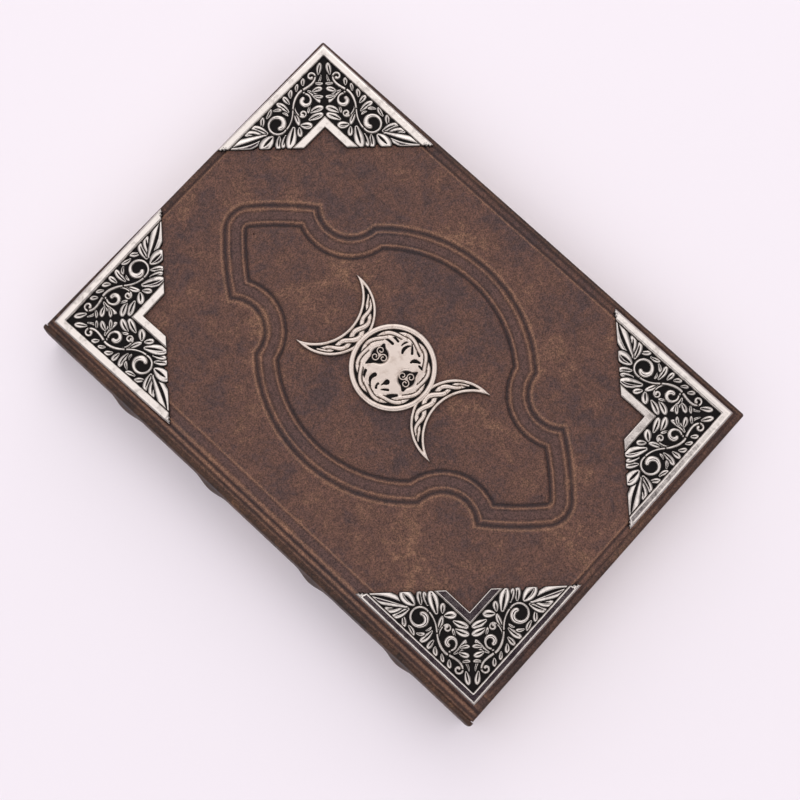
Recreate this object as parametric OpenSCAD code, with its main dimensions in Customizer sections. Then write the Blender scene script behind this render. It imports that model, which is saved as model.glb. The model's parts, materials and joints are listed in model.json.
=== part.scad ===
// Hand-bound leather notebook with four scrollwork corner plates and a triple-moon emblem.
// It lies on its back cover. +X runs from the spine to the fore edge, +Y from the tail to the
// head and +Z out of the front cover. The origin is under the middle of the book.

/* [Covers] */
// Width of each cover from its hinge line to the fore edge
cover_w = 158.7; // [145:0.1:190]
// Height of each cover from tail to head
cover_h = 225; // [205:1:260]
// Thickness of the boards
board_t = 3; // [2:0.1:5]
// Thickness of the leather over the boards
leather_t = 1; // [0.9:0.1:1.6]
// Thickness of the pared leather turned in over the board edges
turn_in_t = 0.6; // [0.3:0.1:1.2]
// Width of turned-in leather left showing around a pastedown
turn_in_w = 4; // [3:0.5:12]
// Gap of bare leather between the hinge line and the board
joint_w = 1.4; // [0.8:0.1:2.5]
// Rounding of the leather at the cover edges
edge_r = 1; // [0.4:0.1:1.1]

/* [Pages] */
// Thickness of the text block
pages_t = 22; // [16:0.5:45]
// How far the covers stand past the pages
square_w = 3; // [2:0.25:6]
// Clearance between the pages and each cover
page_gap = 0.3; // [0.1:0.05:1]

/* [Spine] */
// Inside rounding of the leather at the shoulders
shoulder_in_r = 0.6; // [0.3:0.1:1.2]
// Flat strip of leather between each shoulder and its hinge line
shoulder_flat = 0.3; // [0.1:0.1:1]
// How far the back bows out between its shoulders
spine_bow = 0.6; // [0.4:0.1:2]
// How far a raised band stands out of the back
band_rise = 1.2; // [0.6:0.1:1.8]
// Width of a raised band along the spine
band_w = 13; // [8:0.5:20]
// Half of the height of the back that a band crosses
band_reach = 13; // [9:0.5:13.5]
// Distance between the two middle bands, as a share of the cover's height
band_mid_share = 0.24; // [0.18:0.01:0.26]
// Distance from a middle band to the next outer one, as a share of the cover's height
band_end_share = 0.205; // [0.14:0.005:0.22]
// Height of the middle of the band pattern above the middle of the spine
band_offset = -3.9; // [-6:0.1:6]
// Thickness of the lining glued to the back of the pages
lining_t = 0.5; // [0.3:0.1:1]
// Clearance that parts the leather at the hinge lines
hinge_gap = 0.3; // [0.2:0.05:0.6]
// How far the headcaps stand past the covers
headcap_out = 0.5; // [0.2:0.1:1.5]
// Depth of the headcap over the headband
headcap_depth = 3.6; // [2.5:0.1:5]
// Radius of the headband bead
headband_r = 1.1; // [0.7:0.1:1.3]

/* [Tooling] */
// Depth of the tooled grooves
groove_d = 0.5; // [0.2:0.05:0.7]
// Width of a border groove
border_groove_w = 1.1; // [0.6:0.1:1.5]
// Distance of the inner border line from the fore edge
border_fore = 4.8; // [3.5:0.1:12]
// Distance of the inner border line from the tail edge
border_tail = 5.4; // [3.5:0.1:12]
// Distance of the border line from the head edge
border_head = 2.8; // [2:0.1:8]
// Distance between the two lines of the border
border_pitch = 2.6; // [1.8:0.1:3.2]
// Distance of the first spine line from the hinge line
rail_1 = 1.6; // [1.4:0.1:2.2]
// Distance of the second spine line from the hinge line
rail_2 = 4.1; // [3.7:0.1:5.2]
// Distance from the hinge line to the pressed band beside the spine lines
rail_band = 6.8; // [6.3:0.1:9]
// Width of the pressed band
rail_band_w = 3; // [1.5:0.1:5]
// Depth of the pressed band
rail_band_d = 0.25; // [0.1:0.05:0.5]

/* [Cartouche] */
// Distance of the cartouche centre from the hinge line
cart_x = 81.4; // [70:0.1:95]
// Height of the cartouche centre above the middle of the cover
cart_y = 1.3; // [-10:0.1:10]
// Half width of the cartouche between its side arcs
cart_half_w = 52.2; // [48:0.1:56]
// Half height of the cartouche to its rounded points
cart_half_h = 88.5; // [86:0.1:94]
// Radius of the side arcs
cart_side_r = 59.9; // [57:0.1:64]
// Distance of each bite centre from the cartouche's long axis
bite_x = 34.7; // [33:0.1:38]
// Distance of each bite centre from the cartouche's short axis
bite_y = 56.2; // [54:0.1:60]
// Radius of the four bites
bite_r = 13.4; // [11:0.1:15]
// Rounding of the points
point_r = 10; // [9.6:0.1:14]
// Radius of the slightly bowed sides that run to the points
ear_r = 120; // [100:1:160]
// Width of the tooled band, outer line to inner line
cart_band = 8.3; // [7:0.1:8.8]
// Width of the outer and inner lines
cart_line_w = 1.5; // [0.8:0.1:1.8]
// Width of the two fine lines between them
fine_line_w = 0.7; // [0.4:0.1:1]
// Distance of the first fine line from the outer line
fine_line_1 = 2.5; // [2:0.1:3]
// Distance of the second fine line from the outer line
fine_line_2 = 6; // [4.6:0.1:6.2]
// Height of the padded panel inside the cartouche
panel_rise = 0.4; // [0.2:0.05:1]

/* [Corner plates] */
// Length of each leg of a corner plate
corner_leg = 61; // [58:0.5:64]
// Width of the bevelled outer bar
bar_w = 3.2; // [2.5:0.1:4]
// Distance of the inner chevron from the outer edges
chevron_in = 21.2; // [20:0.1:23]
// Width of the inner chevron
chevron_w = 3.4; // [2.5:0.1:4.5]
// Thickness of the plate under the relief
plate_t = 0.7; // [0.5:0.1:1.2]
// Height of the bars
bar_t = 2; // [1.9:0.1:2.6]
// Height of the bevels on the bars
bevel = 0.7; // [0.3:0.1:1]
// Height of the carved relief
relief_t = 1.5; // [1.2:0.1:1.8]
// Height of the crown along the scrolls
crown_t = 0.3; // [0.2:0.05:0.5]
// Width of the shoulder beside that crown
crown_in = 0.15; // [0.1:0.01:0.2]
// Width of the dark gap between scrolls and leaves
leaf_gap = 0.22; // [0.1:0.02:0.4]
// Distance of the plate's ground from its free edge, which the leaf tips scallop
free_edge_inset = 1.2; // [0.6:0.1:2]
// Distance of the head plate's tip from the hinge line
hinge_to_head_tip = 2.8; // [2.6:0.1:8]
// Distance of the tail plate's tip from the hinge line
hinge_to_tail_tip = 5; // [2.6:0.1:8]
// Distance of the head plate's tip from the fore edge
fore_to_head_tip = 1.4; // [1.2:0.1:6]
// Distance of the tail plate's tip from the fore edge
fore_to_tail_tip = 3; // [1.2:0.1:6]
// Distance of the spine-side head plate's tip from the head edge
head_to_spine_tip = 2.1; // [1.2:0.1:6]
// Distance of the fore-edge head plate's tip from the head edge
head_to_fore_tip = 1.5; // [1.2:0.1:6]
// Distance of the tail plates' tips from the tail edge
tail_to_tips = 4; // [1.2:0.1:6]
// Slant of the spine-side head plate, set by hand
slant_head_spine = 1.2; // [-1.5:0.1:1.5]
// Slant of the fore-edge head plate
slant_head_fore = -0.8; // [-1.5:0.1:1.5]
// Slant of the spine-side tail plate
slant_tail_spine = -0.2; // [-1.5:0.1:1.5]

/* [Emblem] */
// Distance of the emblem centre from the hinge line
emblem_x = 79.1; // [70:0.1:90]
// Height of the emblem centre above the middle of the cover
emblem_y = 0.9; // [-10:0.1:10]
// Radius of the full moon
moon_r = 17.3; // [16.5:0.1:19]
// Width of the full moon's plain rim
moon_rim = 2.1; // [1.5:0.1:2.6]
// Outer radius of the crescents
crescent_r = 17.75; // [17:0.05:19]
// Inner radius of the crescents
crescent_inner_r = 18.5; // [18:0.05:19.5]
// Distance of each crescent's outer circle from the emblem centre
crescent_at = 33; // [32.5:0.1:34]
// Distance of each crescent's inner circle from the emblem centre
crescent_inner_at = 41.6; // [41:0.1:42.5]
// Width of the plain rim around the crescents
crescent_rim = 1.2; // [0.8:0.1:1.4]
// Thickness of the emblem's ground
emblem_base_t = 1.1; // [0.8:0.1:1.5]
// Thickness of the emblem at its rims and raised lines
emblem_t = 2.1; // [1.8:0.1:2.6]
// How far the raised lines lie below the rims
line_drop = 0.2; // [0.1:0.05:0.5]
// Width of the dark line inside the full moon's rim
moon_line = 0.4; // [0.2:0.05:0.7]
// Width of the woven ring around the tree
ring_w = 3.4; // [3:0.1:3.8]
// Width of a woven strand
strand_w = 1.15; // [0.8:0.05:1.3]
// Width of the dark gap beside a strand that passes over
strand_gap = 0.2; // [0.12:0.02:0.3]
// Number of lobes of the woven ring
ring_lobes = 7; // [5:1:8]
// Number of crossings of a crescent's knot
knot_crossings = 5; // [4:1:6]
// How far a crescent's strands swing to each side
knot_sway = 1.75; // [1.2:0.05:1.9]
// Half of the angle that a crescent's knot spans
knot_reach = 54; // [48:1:56]
// Gap between a triskele and the edge of its opening
pocket_gap = 0.8; // [0.5:0.1:1]
// Radius of each triskele
triskele_r = 2.9; // [2.4:0.1:3.1]
// Distance of each triskele from the emblem centre
triskele_at = 7; // [6.6:0.1:7.4]

/* [Hidden] */
$fn = 64;
eps = 0.05;                     // overlap of shapes that are joined
over = 1;                       // overshoot of cutting shapes
join = 0.01;                    // growth that joins flat shapes which only touch
sliver = 0.04;                  // half of the thinnest line or gap left in the relief

LEATHER = [0.36, 0.26, 0.23];
SPINE_LEATHER = [0.3, 0.2, 0.16];
BOARD = [0.55, 0.5, 0.42];
PAPER = [0.93, 0.9, 0.82];
LINING = [0.7, 0.64, 0.52];
THREAD = [0.75, 0.6, 0.42];
CORD = [0.62, 0.52, 0.38];
SILVER = [0.78, 0.77, 0.76];

cover_t = leather_t + board_t + turn_in_t;
total_t = 2 * (cover_t + page_gap) + pages_t;
shoulder_r = leather_t + shoulder_in_r;
back_out = shoulder_r + spine_bow;
spine_bulge = back_out + shoulder_flat + hinge_gap / 2;
spine_out = spine_bulge + band_rise;
hinge_x = spine_out - (spine_out + cover_w) / 2;
mid_z = total_t / 2;

// Rounded back: an arc that touches the roundings of both shoulders
half_t = total_t / 2;
spine_end_x = hinge_x - hinge_gap / 2;
spine_r = (pow(half_t - shoulder_r, 2) + back_out * back_out - shoulder_r * shoulder_r) / (2 * spine_bow);
spine_cx = hinge_x - spine_bulge + spine_r;
// A band's crest and the flatter arc it follows
band_reach_drop = spine_r - sqrt(spine_r * spine_r - band_reach * band_reach);
band_sag = band_rise + band_reach_drop;
band_r = (band_reach * band_reach + band_sag * band_sag) / (2 * band_sag);
band_cx = hinge_x - spine_bulge - band_rise + band_r;
band_profile_r = (band_w * band_w / 4 + band_rise * band_rise) / (2 * band_rise);

block_h = cover_h - 2 * square_w;
block_fore_x = hinge_x + cover_w - square_w;
spine_h = cover_h + 2 * headcap_out;

function band_y(i) = band_offset
    + (i < 2 ? 1 : -1) * cover_h * (band_mid_share / 2 + (i == 0 || i == 3 ? band_end_share : 0));

// Section and solid helpers

// Rectangle from (0, 0) whose corners at the far X end are rounded
module fore_section(w, t, r) {
    square([w - r, t]);
    translate([0, r]) square([w, t - 2 * r]);
    for (z = [r, t - r]) translate([w - r, z]) circle(r);
}

// Rectangle centred on Y whose four corners are rounded
module end_section(h, t, r) {
    translate([-h / 2 + r, 0]) square([h - 2 * r, t]);
    translate([-h / 2, r]) square([h, t - 2 * r]);
    for (y = [-h / 2 + r, h / 2 - r], z = [r, t - r]) translate([y, z]) circle(r);
}

// Slab from the hinge line outwards, its fore edge, head and tail rounded
module soft_slab(w, h, t, r) {
    intersection() {
        translate([0, h / 2, 0]) rotate([90, 0, 0]) linear_extrude(h) fore_section(w, t, r);
        rotate([90, 0, 90]) linear_extrude(w) end_section(h, t, r);
    }
}

// Block that is centred on Y
module plank(x0, x1, h, z0, z1) {
    translate([x0, -h / 2, z0]) cube([x1 - x0, h, z1 - z0]);
}

// Book pieces that do not move

// Section of the back seen along the spine, drawn this far inside its outer face
module spine_section(inset, x_end) {
    r = spine_r - inset;
    sr = shoulder_r - inset;
    z_in = half_t - inset;
    shoulder_x = spine_cx - sqrt((r - sr) * (r - sr) - (z_in - sr) * (z_in - sr));
    touch_z = (z_in - sr) * r / (r - sr);
    translate([0, mid_z]) {
        intersection() {
            translate([spine_cx, 0]) circle(r, $fn = 360);
            translate([spine_cx - r - over, -touch_z]) square([x_end - spine_cx + r + over, 2 * touch_z]);
        }
        for (s = [0, 1]) mirror([0, s]) {
            intersection() {
                translate([shoulder_x, z_in - sr]) circle(sr);
                translate([shoulder_x - sr - over, touch_z]) square([sr + over, z_in - touch_z + over]);
            }
            translate([shoulder_x, touch_z]) square([x_end - shoulder_x, z_in - touch_z]);
        }
    }
}

// Swell of one raised band, revolved about the axis of its own arc
module band_swell(y, inset) {
    swing = asin((band_reach + over) / band_r);
    translate([band_cx, y, mid_z]) rotate([90, 0, 0]) rotate([0, 0, 180 - swing])
        rotate_extrude(angle = 2 * swing, $fn = 180) intersection() {
            translate([band_r - band_profile_r, 0]) circle(band_profile_r - inset, $fn = 180);
            translate([band_r - band_sag - over, -band_w]) square([band_sag + 2 * over, 2 * band_w]);
        }
}

module along_spine(h) {
    translate([0, h / 2, 0]) rotate([90, 0, 0]) linear_extrude(h) children();
}

module text_block() {
    color(PAPER) along_spine(block_h) translate([0, mid_z]) difference() {
        intersection() {
            translate([spine_cx, 0]) circle(spine_r - leather_t - lining_t, $fn = 360);
            translate([hinge_x - spine_out, -pages_t / 2])
                square([block_fore_x - hinge_x + spine_out, pages_t]);
        }
        // the fore edge is hollow by as much as the back is round
        translate([block_fore_x + spine_r - spine_bulge / 2, 0]) circle(spine_r, $fn = 360);
    }
}

module spine_lining() {
    color(LINING) along_spine(block_h) translate([0, mid_z]) intersection() {
        difference() {
            translate([spine_cx, 0]) circle(spine_r - leather_t, $fn = 360);
            translate([spine_cx, 0]) circle(spine_r - leather_t - lining_t, $fn = 360);
        }
        translate([hinge_x - spine_out, -pages_t / 2]) square([spine_r / 2, pages_t]);
    }
}

module raised_band(i) {
    color(CORD) difference() {
        band_swell(band_y(i), leather_t);
        translate([spine_cx, band_y(i) + band_w, mid_z]) rotate([90, 0, 0])
            cylinder(r = spine_r - leather_t, h = 2 * band_w, $fn = 360);
    }
}

module raised_band_1() { raised_band(0); }
module raised_band_2() { raised_band(1); }
module raised_band_3() { raised_band(2); }
module raised_band_4() { raised_band(3); }

// Leather folded over the headband between the two covers
module headcap(side) {
    x_in = hinge_x - spine_bulge + headcap_depth;
    end_y = side > 0 ? spine_h / 2 : leather_t - spine_h / 2;
    translate([0, end_y, 0]) rotate([90, 0, 0]) linear_extrude(leather_t) {
        spine_section(0, spine_end_x);
        intersection() {
            spine_section(0, x_in);
            translate([hinge_x - spine_out, cover_t + page_gap]) square([spine_out + headcap_depth, pages_t]);
        }
    }
}

module spine_leather() {
    color(SPINE_LEATHER) {
        difference() {
            union() {
                along_spine(spine_h) spine_section(0, spine_end_x);
                for (i = [0:3]) band_swell(band_y(i), 0);
            }
            along_spine(spine_h + 2 * over) spine_section(leather_t, hinge_x + band_reach);
            for (i = [0:3]) band_swell(band_y(i), leather_t);
        }
        headcap(1);
        headcap(-1);
    }
}

// Rolled bead over the end of the pages, following the round of the back
module headband(side) {
    bead_r = spine_r - leather_t - lining_t - headband_r;
    swing = asin((pages_t / 2 - headband_r) / bead_r);
    color(THREAD) translate([spine_cx, side * (block_h / 2 + headband_r), mid_z]) rotate([90, 0, 0])
        rotate([0, 0, 180 - swing]) rotate_extrude(angle = 2 * swing, $fn = 180)
            translate([bead_r, 0]) circle(headband_r);
}

module head_band() { headband(1); }
module tail_band() { headband(-1); }

// Covers, drawn with the hinge line at X = 0 and the inner face at Z = 0

module front_place() {
    translate([hinge_x, 0, total_t - cover_t]) children();
}

module back_place() {
    translate([hinge_x, 0, cover_t]) mirror([0, 0, 1]) children();
}

module cover_board() {
    color(BOARD) plank(joint_w, cover_w - leather_t, cover_h - 2 * leather_t, turn_in_t, turn_in_t + board_t);
}

module cover_pastedown() {
    color(PAPER) plank(joint_w, cover_w - turn_in_w, cover_h - 2 * turn_in_w, 0, turn_in_t);
}

// Leather wrapped over the outer face and turned in at the fore edge, head and tail
module wrapped_leather() {
    difference() {
        soft_slab(cover_w, cover_h, cover_t, edge_r);
        plank(-over, hinge_gap / 2, cover_h + 2 * over, -over, cover_t + over);
        plank(-over, joint_w, cover_h + 2 * over, -over, turn_in_t + board_t);
        plank(joint_w - eps, cover_w - leather_t, cover_h - 2 * leather_t, turn_in_t, turn_in_t + board_t);
        plank(joint_w - eps, cover_w - turn_in_w, cover_h - 2 * turn_in_w, -over, turn_in_t + eps);
    }
}

// Round-bottomed groove of the given width, cut down from the outer face
module groove(len, w) {
    r = (w * w / 4 + groove_d * groove_d) / (2 * groove_d);
    translate([0, 0, cover_t + r - groove_d]) rotate([90, 0, 0]) cylinder(r = r, h = len, center = true);
}

module border_tooling() {
    for (x = [rail_1, rail_2]) translate([x, 0, 0]) groove(cover_h + 2 * over, border_groove_w);
    plank(rail_band, rail_band + rail_band_w, cover_h + 2 * over, cover_t - rail_band_d, cover_t + over);
    for (k = [0, 1]) translate([cover_w - border_fore + k * border_pitch, 0, 0])
        groove(cover_h - 2 * border_head, border_groove_w);
    line_x0 = rail_band + rail_band_w;
    line_len = cover_w - line_x0 - border_fore + border_pitch;
    for (y = [cover_h / 2 - border_head, border_tail - cover_h / 2, border_tail - border_pitch - cover_h / 2])
        translate([line_x0 + line_len / 2, y, 0]) rotate([0, 0, 90]) groove(line_len, border_groove_w);
}

// The cartouche outline moved outwards by d. Every stretch of it is an arc about a fixed centre,
// so the lines of the tooled band stay parallel.
side_cx = cart_half_w - cart_side_r;
point_cy = cart_half_h - point_r;
// Centre of the bowed side that touches the point's rounding and passes the shoulder of the bite
shoulder_dir = 43;
shoulder = [bite_x - bite_r * cos(shoulder_dir), bite_y + bite_r * sin(shoulder_dir)];
ear_to_shoulder = norm(shoulder - [0, point_cy]);
ear_base = atan2(shoulder[1] - point_cy, shoulder[0]);
ear_cos = (pow(ear_r - point_r, 2) + pow(ear_to_shoulder, 2) - ear_r * ear_r)
    / (2 * (ear_r - point_r) * ear_to_shoulder);
ear_dir = ear_base - acos(ear_cos);
ear_c = [(ear_r - point_r) * cos(ear_dir), point_cy + (ear_r - point_r) * sin(ear_dir)];

module ear(d) {
    touch_y = point_cy - (point_r + d) * sin(ear_dir);
    intersection() {
        translate([ear_c[0], ear_c[1]]) circle(ear_r + d, $fn = 720);
        translate([-ear_c[0], ear_c[1]]) circle(ear_r + d, $fn = 720);
        translate([-bite_x, bite_y]) square([2 * bite_x, touch_y - bite_y]);
    }
    translate([0, point_cy]) circle(point_r + d);
}

module cartouche(d) {
    neck = bite_x - bite_r / 2;
    difference() {
        union() {
            intersection() {
                translate([side_cx, 0]) circle(cart_side_r + d, $fn = 360);
                translate([-side_cx, 0]) circle(cart_side_r + d, $fn = 360);
            }
            translate([-neck, -bite_y]) square([2 * neck, 2 * bite_y]);
            ear(d);
            mirror([0, 1]) ear(d);
        }
        for (sx = [-1, 1], sy = [-1, 1]) translate([sx * bite_x, sy * bite_y]) circle(bite_r - d, $fn = 96);
    }
}

module cartouche_line(at, w) {
    translate([0, 0, cover_t - groove_d]) linear_extrude(groove_d + over) difference() {
        cartouche(w / 2 - at);
        cartouche(-w / 2 - at);
    }
}

module cartouche_tooling() {
    translate([cart_x, cart_y, 0]) {
        cartouche_line(0, cart_line_w);
        cartouche_line(fine_line_1, fine_line_w);
        cartouche_line(fine_line_2, fine_line_w);
        cartouche_line(cart_band, cart_line_w);
    }
}

module front_board() { front_place() cover_board(); }
module back_board() { back_place() cover_board(); }
module front_pastedown() { front_place() cover_pastedown(); }
module back_pastedown() { back_place() cover_pastedown(); }

module back_leather() {
    color(LEATHER) back_place() wrapped_leather();
}

module front_leather() {
    color(LEATHER) front_place() {
        difference() {
            wrapped_leather();
            border_tooling();
            cartouche_tooling();
        }
        translate([cart_x, cart_y, cover_t - eps]) linear_extrude(panel_rise + eps)
            cartouche(-cart_band - cart_line_w / 2);
    }
}

// Corner plates, drawn with the tip at the origin and the legs along +X and +Y

function at_angle(a) = [cos(a), sin(a)];

// Value at a share f of the way along a short list
function along(list, f) = let(x = f * (len(list) - 1), i = min(floor(x), len(list) - 2))
    list[i] + (list[i + 1] - list[i]) * (x - i);

// Ribbon along a list of points. Its half widths follow a short list and are enlarged by grow.
module ribbon(pts, half_w, grow = 0) {
    n = len(pts) - 1;
    normals = [for (i = [0:n])
        let(a = pts[max(i - 1, 0)], b = pts[min(i + 1, n)], d = (b - a) / norm(b - a)) [-d[1], d[0]]];
    polygon(concat(
        [for (i = [0:n]) pts[i] + normals[i] * (along(half_w, i / n) + grow)],
        [for (i = [n:-1:0]) pts[i] - normals[i] * (along(half_w, i / n) + grow)]));
}

// Points along a spiral about c whose radius follows a short list
function spiral(c, radii, a0, turn, n) =
    [for (i = [0:n]) c + along(radii, i / n) * at_angle(a0 + turn * i / n)];

// Points along a cubic curve
function curve(p0, p1, p2, p3, n) = [for (i = [0:n])
    let(t = i / n, s = 1 - t) s * s * s * p0 + 3 * s * s * t * p1 + 3 * s * t * t * p2 + t * t * t * p3];

// Middle line of a leaf from base to tip, bowed sideways by lean
function leaf_line(base, tip, lean, shares) =
    let(d = (tip - base) / norm(tip - base), pull = (base + tip) / 2 + [-d[1], d[0]] * lean * 2)
    [for (t = shares) (1 - t) * (1 - t) * base + 2 * t * (1 - t) * pull + t * t * tip];

// Where a leaf's outline and its cut are drawn, and their widths there as shares of the leaf's
LEAF_SHARES = [0, 0.3, 0.6, 0.8, 0.93, 1];
LEAF_SWELL = [0.5, 0.92, 1.08, 0.95, 0.62, 0.2];
CUT_SHARES = [-0.15, 0.35, 0.7];
CUT_SWELL = [0.4, 0.32, 0.1];

// Rows of base, tip, width and lean, drawn for a leg of pattern_leg
pattern_leg = 61;
LEAVES = [
    // small curled leaves along the bar
    [[5.9, 18], [4.1, 16], 1.5, -0.1], [[5.7, 21.6], [4.1, 19.3], 1.3, -0.15],
    [[5.9, 25.2], [4, 22.9], 1.6, -0.2], [[7.2, 27.4], [3.7, 27.1], 1.7, 0],
    [[9.4, 30.1], [3.6, 30.9], 1.9, 0.35], [[5, 33.9], [7, 31.6], 1.2, -0.3],
    [[5, 37.9], [3.6, 34.2], 1.5, 0.3], [[6.2, 42], [3.4, 39], 1.6, 0.2],
    // the fan beyond the big scroll, out to the long leaf at the leg's end
    [[9.5, 42.4], [3.4, 44.9], 2.2, 0.3], [[9.5, 44.6], [3.3, 48.9], 2.4, 0.5],
    [[9.9, 44], [2.6, 57.6], 4, -0.7], [[12.2, 42.4], [12.5, 48.2], 3.5, 0],
    [[14.2, 40.2], [17.2, 43.9], 2, 0], [[15.7, 38], [18.2, 42.3], 1.7, 0],
    [[15.8, 33.6], [20.2, 40.6], 3, -0.1],
    // pairs beside the chevron
    [[17.4, 31.9], [19.9, 34], 1.8, 0], [[17.2, 30.4], [20, 27.7], 2.3, 0.1],
    [[17.9, 26.4], [20, 21.2], 2.2, -0.2], [[16.1, 23.8], [18.1, 19.1], 2.1, -0.3],
    // shoots inside the tip
    [[9.2, 18.3], [15.8, 18.5], 1.8, -0.75], [[10.6, 17], [12.3, 13.7], 1.7, -0.25],
    [[8.2, 9.9], [9.7, 14.2], 0.9, -0.45], [[7, 10.3], [4.4, 6.6], 1.8, 0],
    [[10.9, 28.7], [16.4, 31.1], 1.6, -0.3]];

// The three big scrolls in one half of the corner and the small one near its tip
small_scroll = [5.9, 13.1];
mid_scroll = [10.9, 21.9];
side_scroll = [14.4, 26.6];
big_scroll = [10.35, 37.1];
stem_fork = [7.1, 20.2];
stem_waist = [10.6, 28.6];

// The long stem, rolled up at both ends, with two side shoots
module half_scrolls(grow) {
    ribbon(spiral(small_scroll, [0.5, 1.2, 1.55, 1.6], 20, 310, 9), [0.42, 0.46, 0.44, 0.44], grow);
    ribbon(curve(small_scroll + 1.6 * at_angle(330), [8.6, 13.9], [8.1, 16.8], stem_fork, 5),
           [0.44, 0.52, 0.54], grow);
    ribbon(curve(stem_fork, [6.7, 23.2], [8.4, 26.2], stem_waist, 5), [0.54, 0.54, 0.4], grow);
    ribbon(curve(stem_waist, [12.3, 30.4], [14.2, 33.4], big_scroll + 3.8 * at_angle(-12), 5),
           [0.4, 0.37, 0.4], grow);
    ribbon(spiral(big_scroll, [3.8, 3.75, 3.65, 3.6, 3.5, 3.2, 2.25, 1.45], -12, 385, 20),
           [0.4, 0.46, 0.5, 0.54, 0.66, 0.86, 0.8, 0.4], grow);
    ribbon(curve(stem_fork, [7.3, 20.5], [8.2, 19.95], mid_scroll + 2.55 * at_angle(232), 3),
           [0.4, 0.45], grow);
    ribbon(spiral(mid_scroll, [2.55, 2.3, 2.35, 2.1, 1.55, 1.05], 232, 300, 12),
           [0.42, 0.45, 0.65, 0.78, 0.72, 0.6], grow);
    ribbon(curve([7.9, 25.2], [9.6, 27.2], [12, 28.5], side_scroll + 1.6 * at_angle(100), 5),
           [0.25, 0.32, 0.32], grow);
    ribbon(spiral(side_scroll, [1.6, 1.25, 1.1, 0.95, 0.5], 100, -400, 11),
           [0.32, 0.34, 0.4, 0.44, 0.4], grow);
    translate(small_scroll + 0.5 * at_angle(20)) circle(0.6 + grow, $fn = 8);
    translate(mid_scroll + 1.05 * at_angle(172)) circle(0.75 + grow, $fn = 10);
    translate(side_scroll + 0.45 * at_angle(60)) circle(0.5 + grow, $fn = 8);
}

module mirrored_halves() {
    scale(corner_leg / pattern_leg) {
        children();
        mirror([1, -1]) children();
    }
}

module corner_outline(cut) {
    near = cut;
    far = corner_leg - cut;
    inner = chevron_in + chevron_w;
    polygon([[near, near], [far - near, near], [corner_leg - inner - cut, inner], [inner, inner],
             [inner, corner_leg - inner - cut], [near, far - near]]);
}

// One straight bar with bevelled long edges, from the mitre at its start to the slanting free edge
module bevelled_bar(at, w) {
    rotate([90, 0, 90]) linear_extrude(corner_leg)
        polygon([[at, 0], [at + w, 0], [at + w, bar_t - bevel / 2], [at + w - bevel, bar_t],
                 [at + bevel * 1.3, bar_t], [at, bar_t - bevel]]);
}

module corner_bars() {
    for (flip = [0, 1]) mirror([flip, -flip, 0]) intersection() {
        union() {
            bevelled_bar(0, bar_w);
            bevelled_bar(chevron_in, chevron_w);
        }
        linear_extrude(bar_t + over) intersection() {
            polygon([[0, 0], [corner_leg, 0], [corner_leg / 2, corner_leg / 2]]);
            polygon([[0, 0], [corner_leg, 0], [0, corner_leg]]);
        }
    }
}

// Drops slivers and hairline gaps thinner than twice w
module clean_edges(w) {
    offset(delta = w) offset(delta = -2 * w) offset(delta = w) children();
}

// The field between the bars and the chevron, a dark gap away from both
module relief_field() {
    inner = chevron_in - leaf_gap;
    near = bar_w + leaf_gap;
    difference() {
        polygon([[near, near], [corner_leg - near, near], [near, corner_leg - near]]);
        translate([inner, inner]) square(corner_leg);
    }
}

// Leaves with a cut along each, parted from the scrolls by a dark gap
module corner_relief() {
    lift = plate_t / 2;
    translate([0, 0, lift]) linear_extrude(relief_t - crown_t - lift) clean_edges(sliver) intersection() {
        relief_field();
        mirrored_halves() {
            difference() {
                for (l = LEAVES) ribbon(leaf_line(l[0], l[1], l[3], LEAF_SHARES), l[2] / 2 * LEAF_SWELL);
                for (l = LEAVES) ribbon(leaf_line(l[0], l[1], l[3], CUT_SHARES), l[2] / 2 * CUT_SWELL);
                half_scrolls(leaf_gap);
            }
            half_scrolls(0);
        }
    }
    crown_z = relief_t - crown_t - eps;
    translate([0, 0, crown_z]) linear_extrude(relief_t - crown_z)
        clean_edges(sliver) mirrored_halves() half_scrolls(-crown_in);
}

module corner_plate() {
    color(SILVER) {
        linear_extrude(plate_t) corner_outline(free_edge_inset);
        corner_bars();
        corner_relief();
    }
}

// Puts a corner plate on the front cover with its tip at (x, y), turned a little as it was set
module corner_place(x, y, turn, flip_x, flip_y) {
    front_place() translate([x, y, cover_t]) rotate([0, 0, turn])
        mirror([flip_x, 0, 0]) mirror([0, flip_y, 0]) children();
}

module corner_head_spine() {
    corner_place(hinge_to_head_tip, cover_h / 2 - head_to_spine_tip, slant_head_spine, 0, 1) corner_plate();
}

module corner_head_fore() {
    corner_place(cover_w - fore_to_head_tip, cover_h / 2 - head_to_fore_tip, slant_head_fore, 1, 1) corner_plate();
}

module corner_tail_fore() {
    corner_place(cover_w - fore_to_tail_tip, tail_to_tips - cover_h / 2, 0, 1, 0) corner_plate();
}

module corner_tail_spine() {
    corner_place(hinge_to_tail_tip, tail_to_tips - cover_h / 2, slant_tail_spine, 0, 0) corner_plate();
}

// Triple-moon emblem, drawn about the full moon's centre

module crescent(inset) {
    difference() {
        translate([0, crescent_at]) circle(crescent_r - inset, $fn = 180);
        translate([0, crescent_inner_at]) circle(crescent_inner_r + inset, $fn = 180);
    }
}

// Three scrolls that spring from one point
module triskele(r) {
    for (k = [0:2]) rotate(120 * k)
        ribbon(spiral([r * 0.56, 0], [r * 0.46, r * 0.42, r * 0.3, r * 0.14], 190, -420, 14),
               [0.34, 0.32, 0.3, 0.34]);
    circle(r * 0.2, $fn = 8);
}

moon_in_r = moon_r - moon_rim - moon_line;
ring_in_r = moon_in_r - ring_w;
ring_mid_r = (moon_in_r + ring_in_r) / 2;
ring_sway = ring_w / 2 - strand_w;
RING_STEPS = 98;

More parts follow.
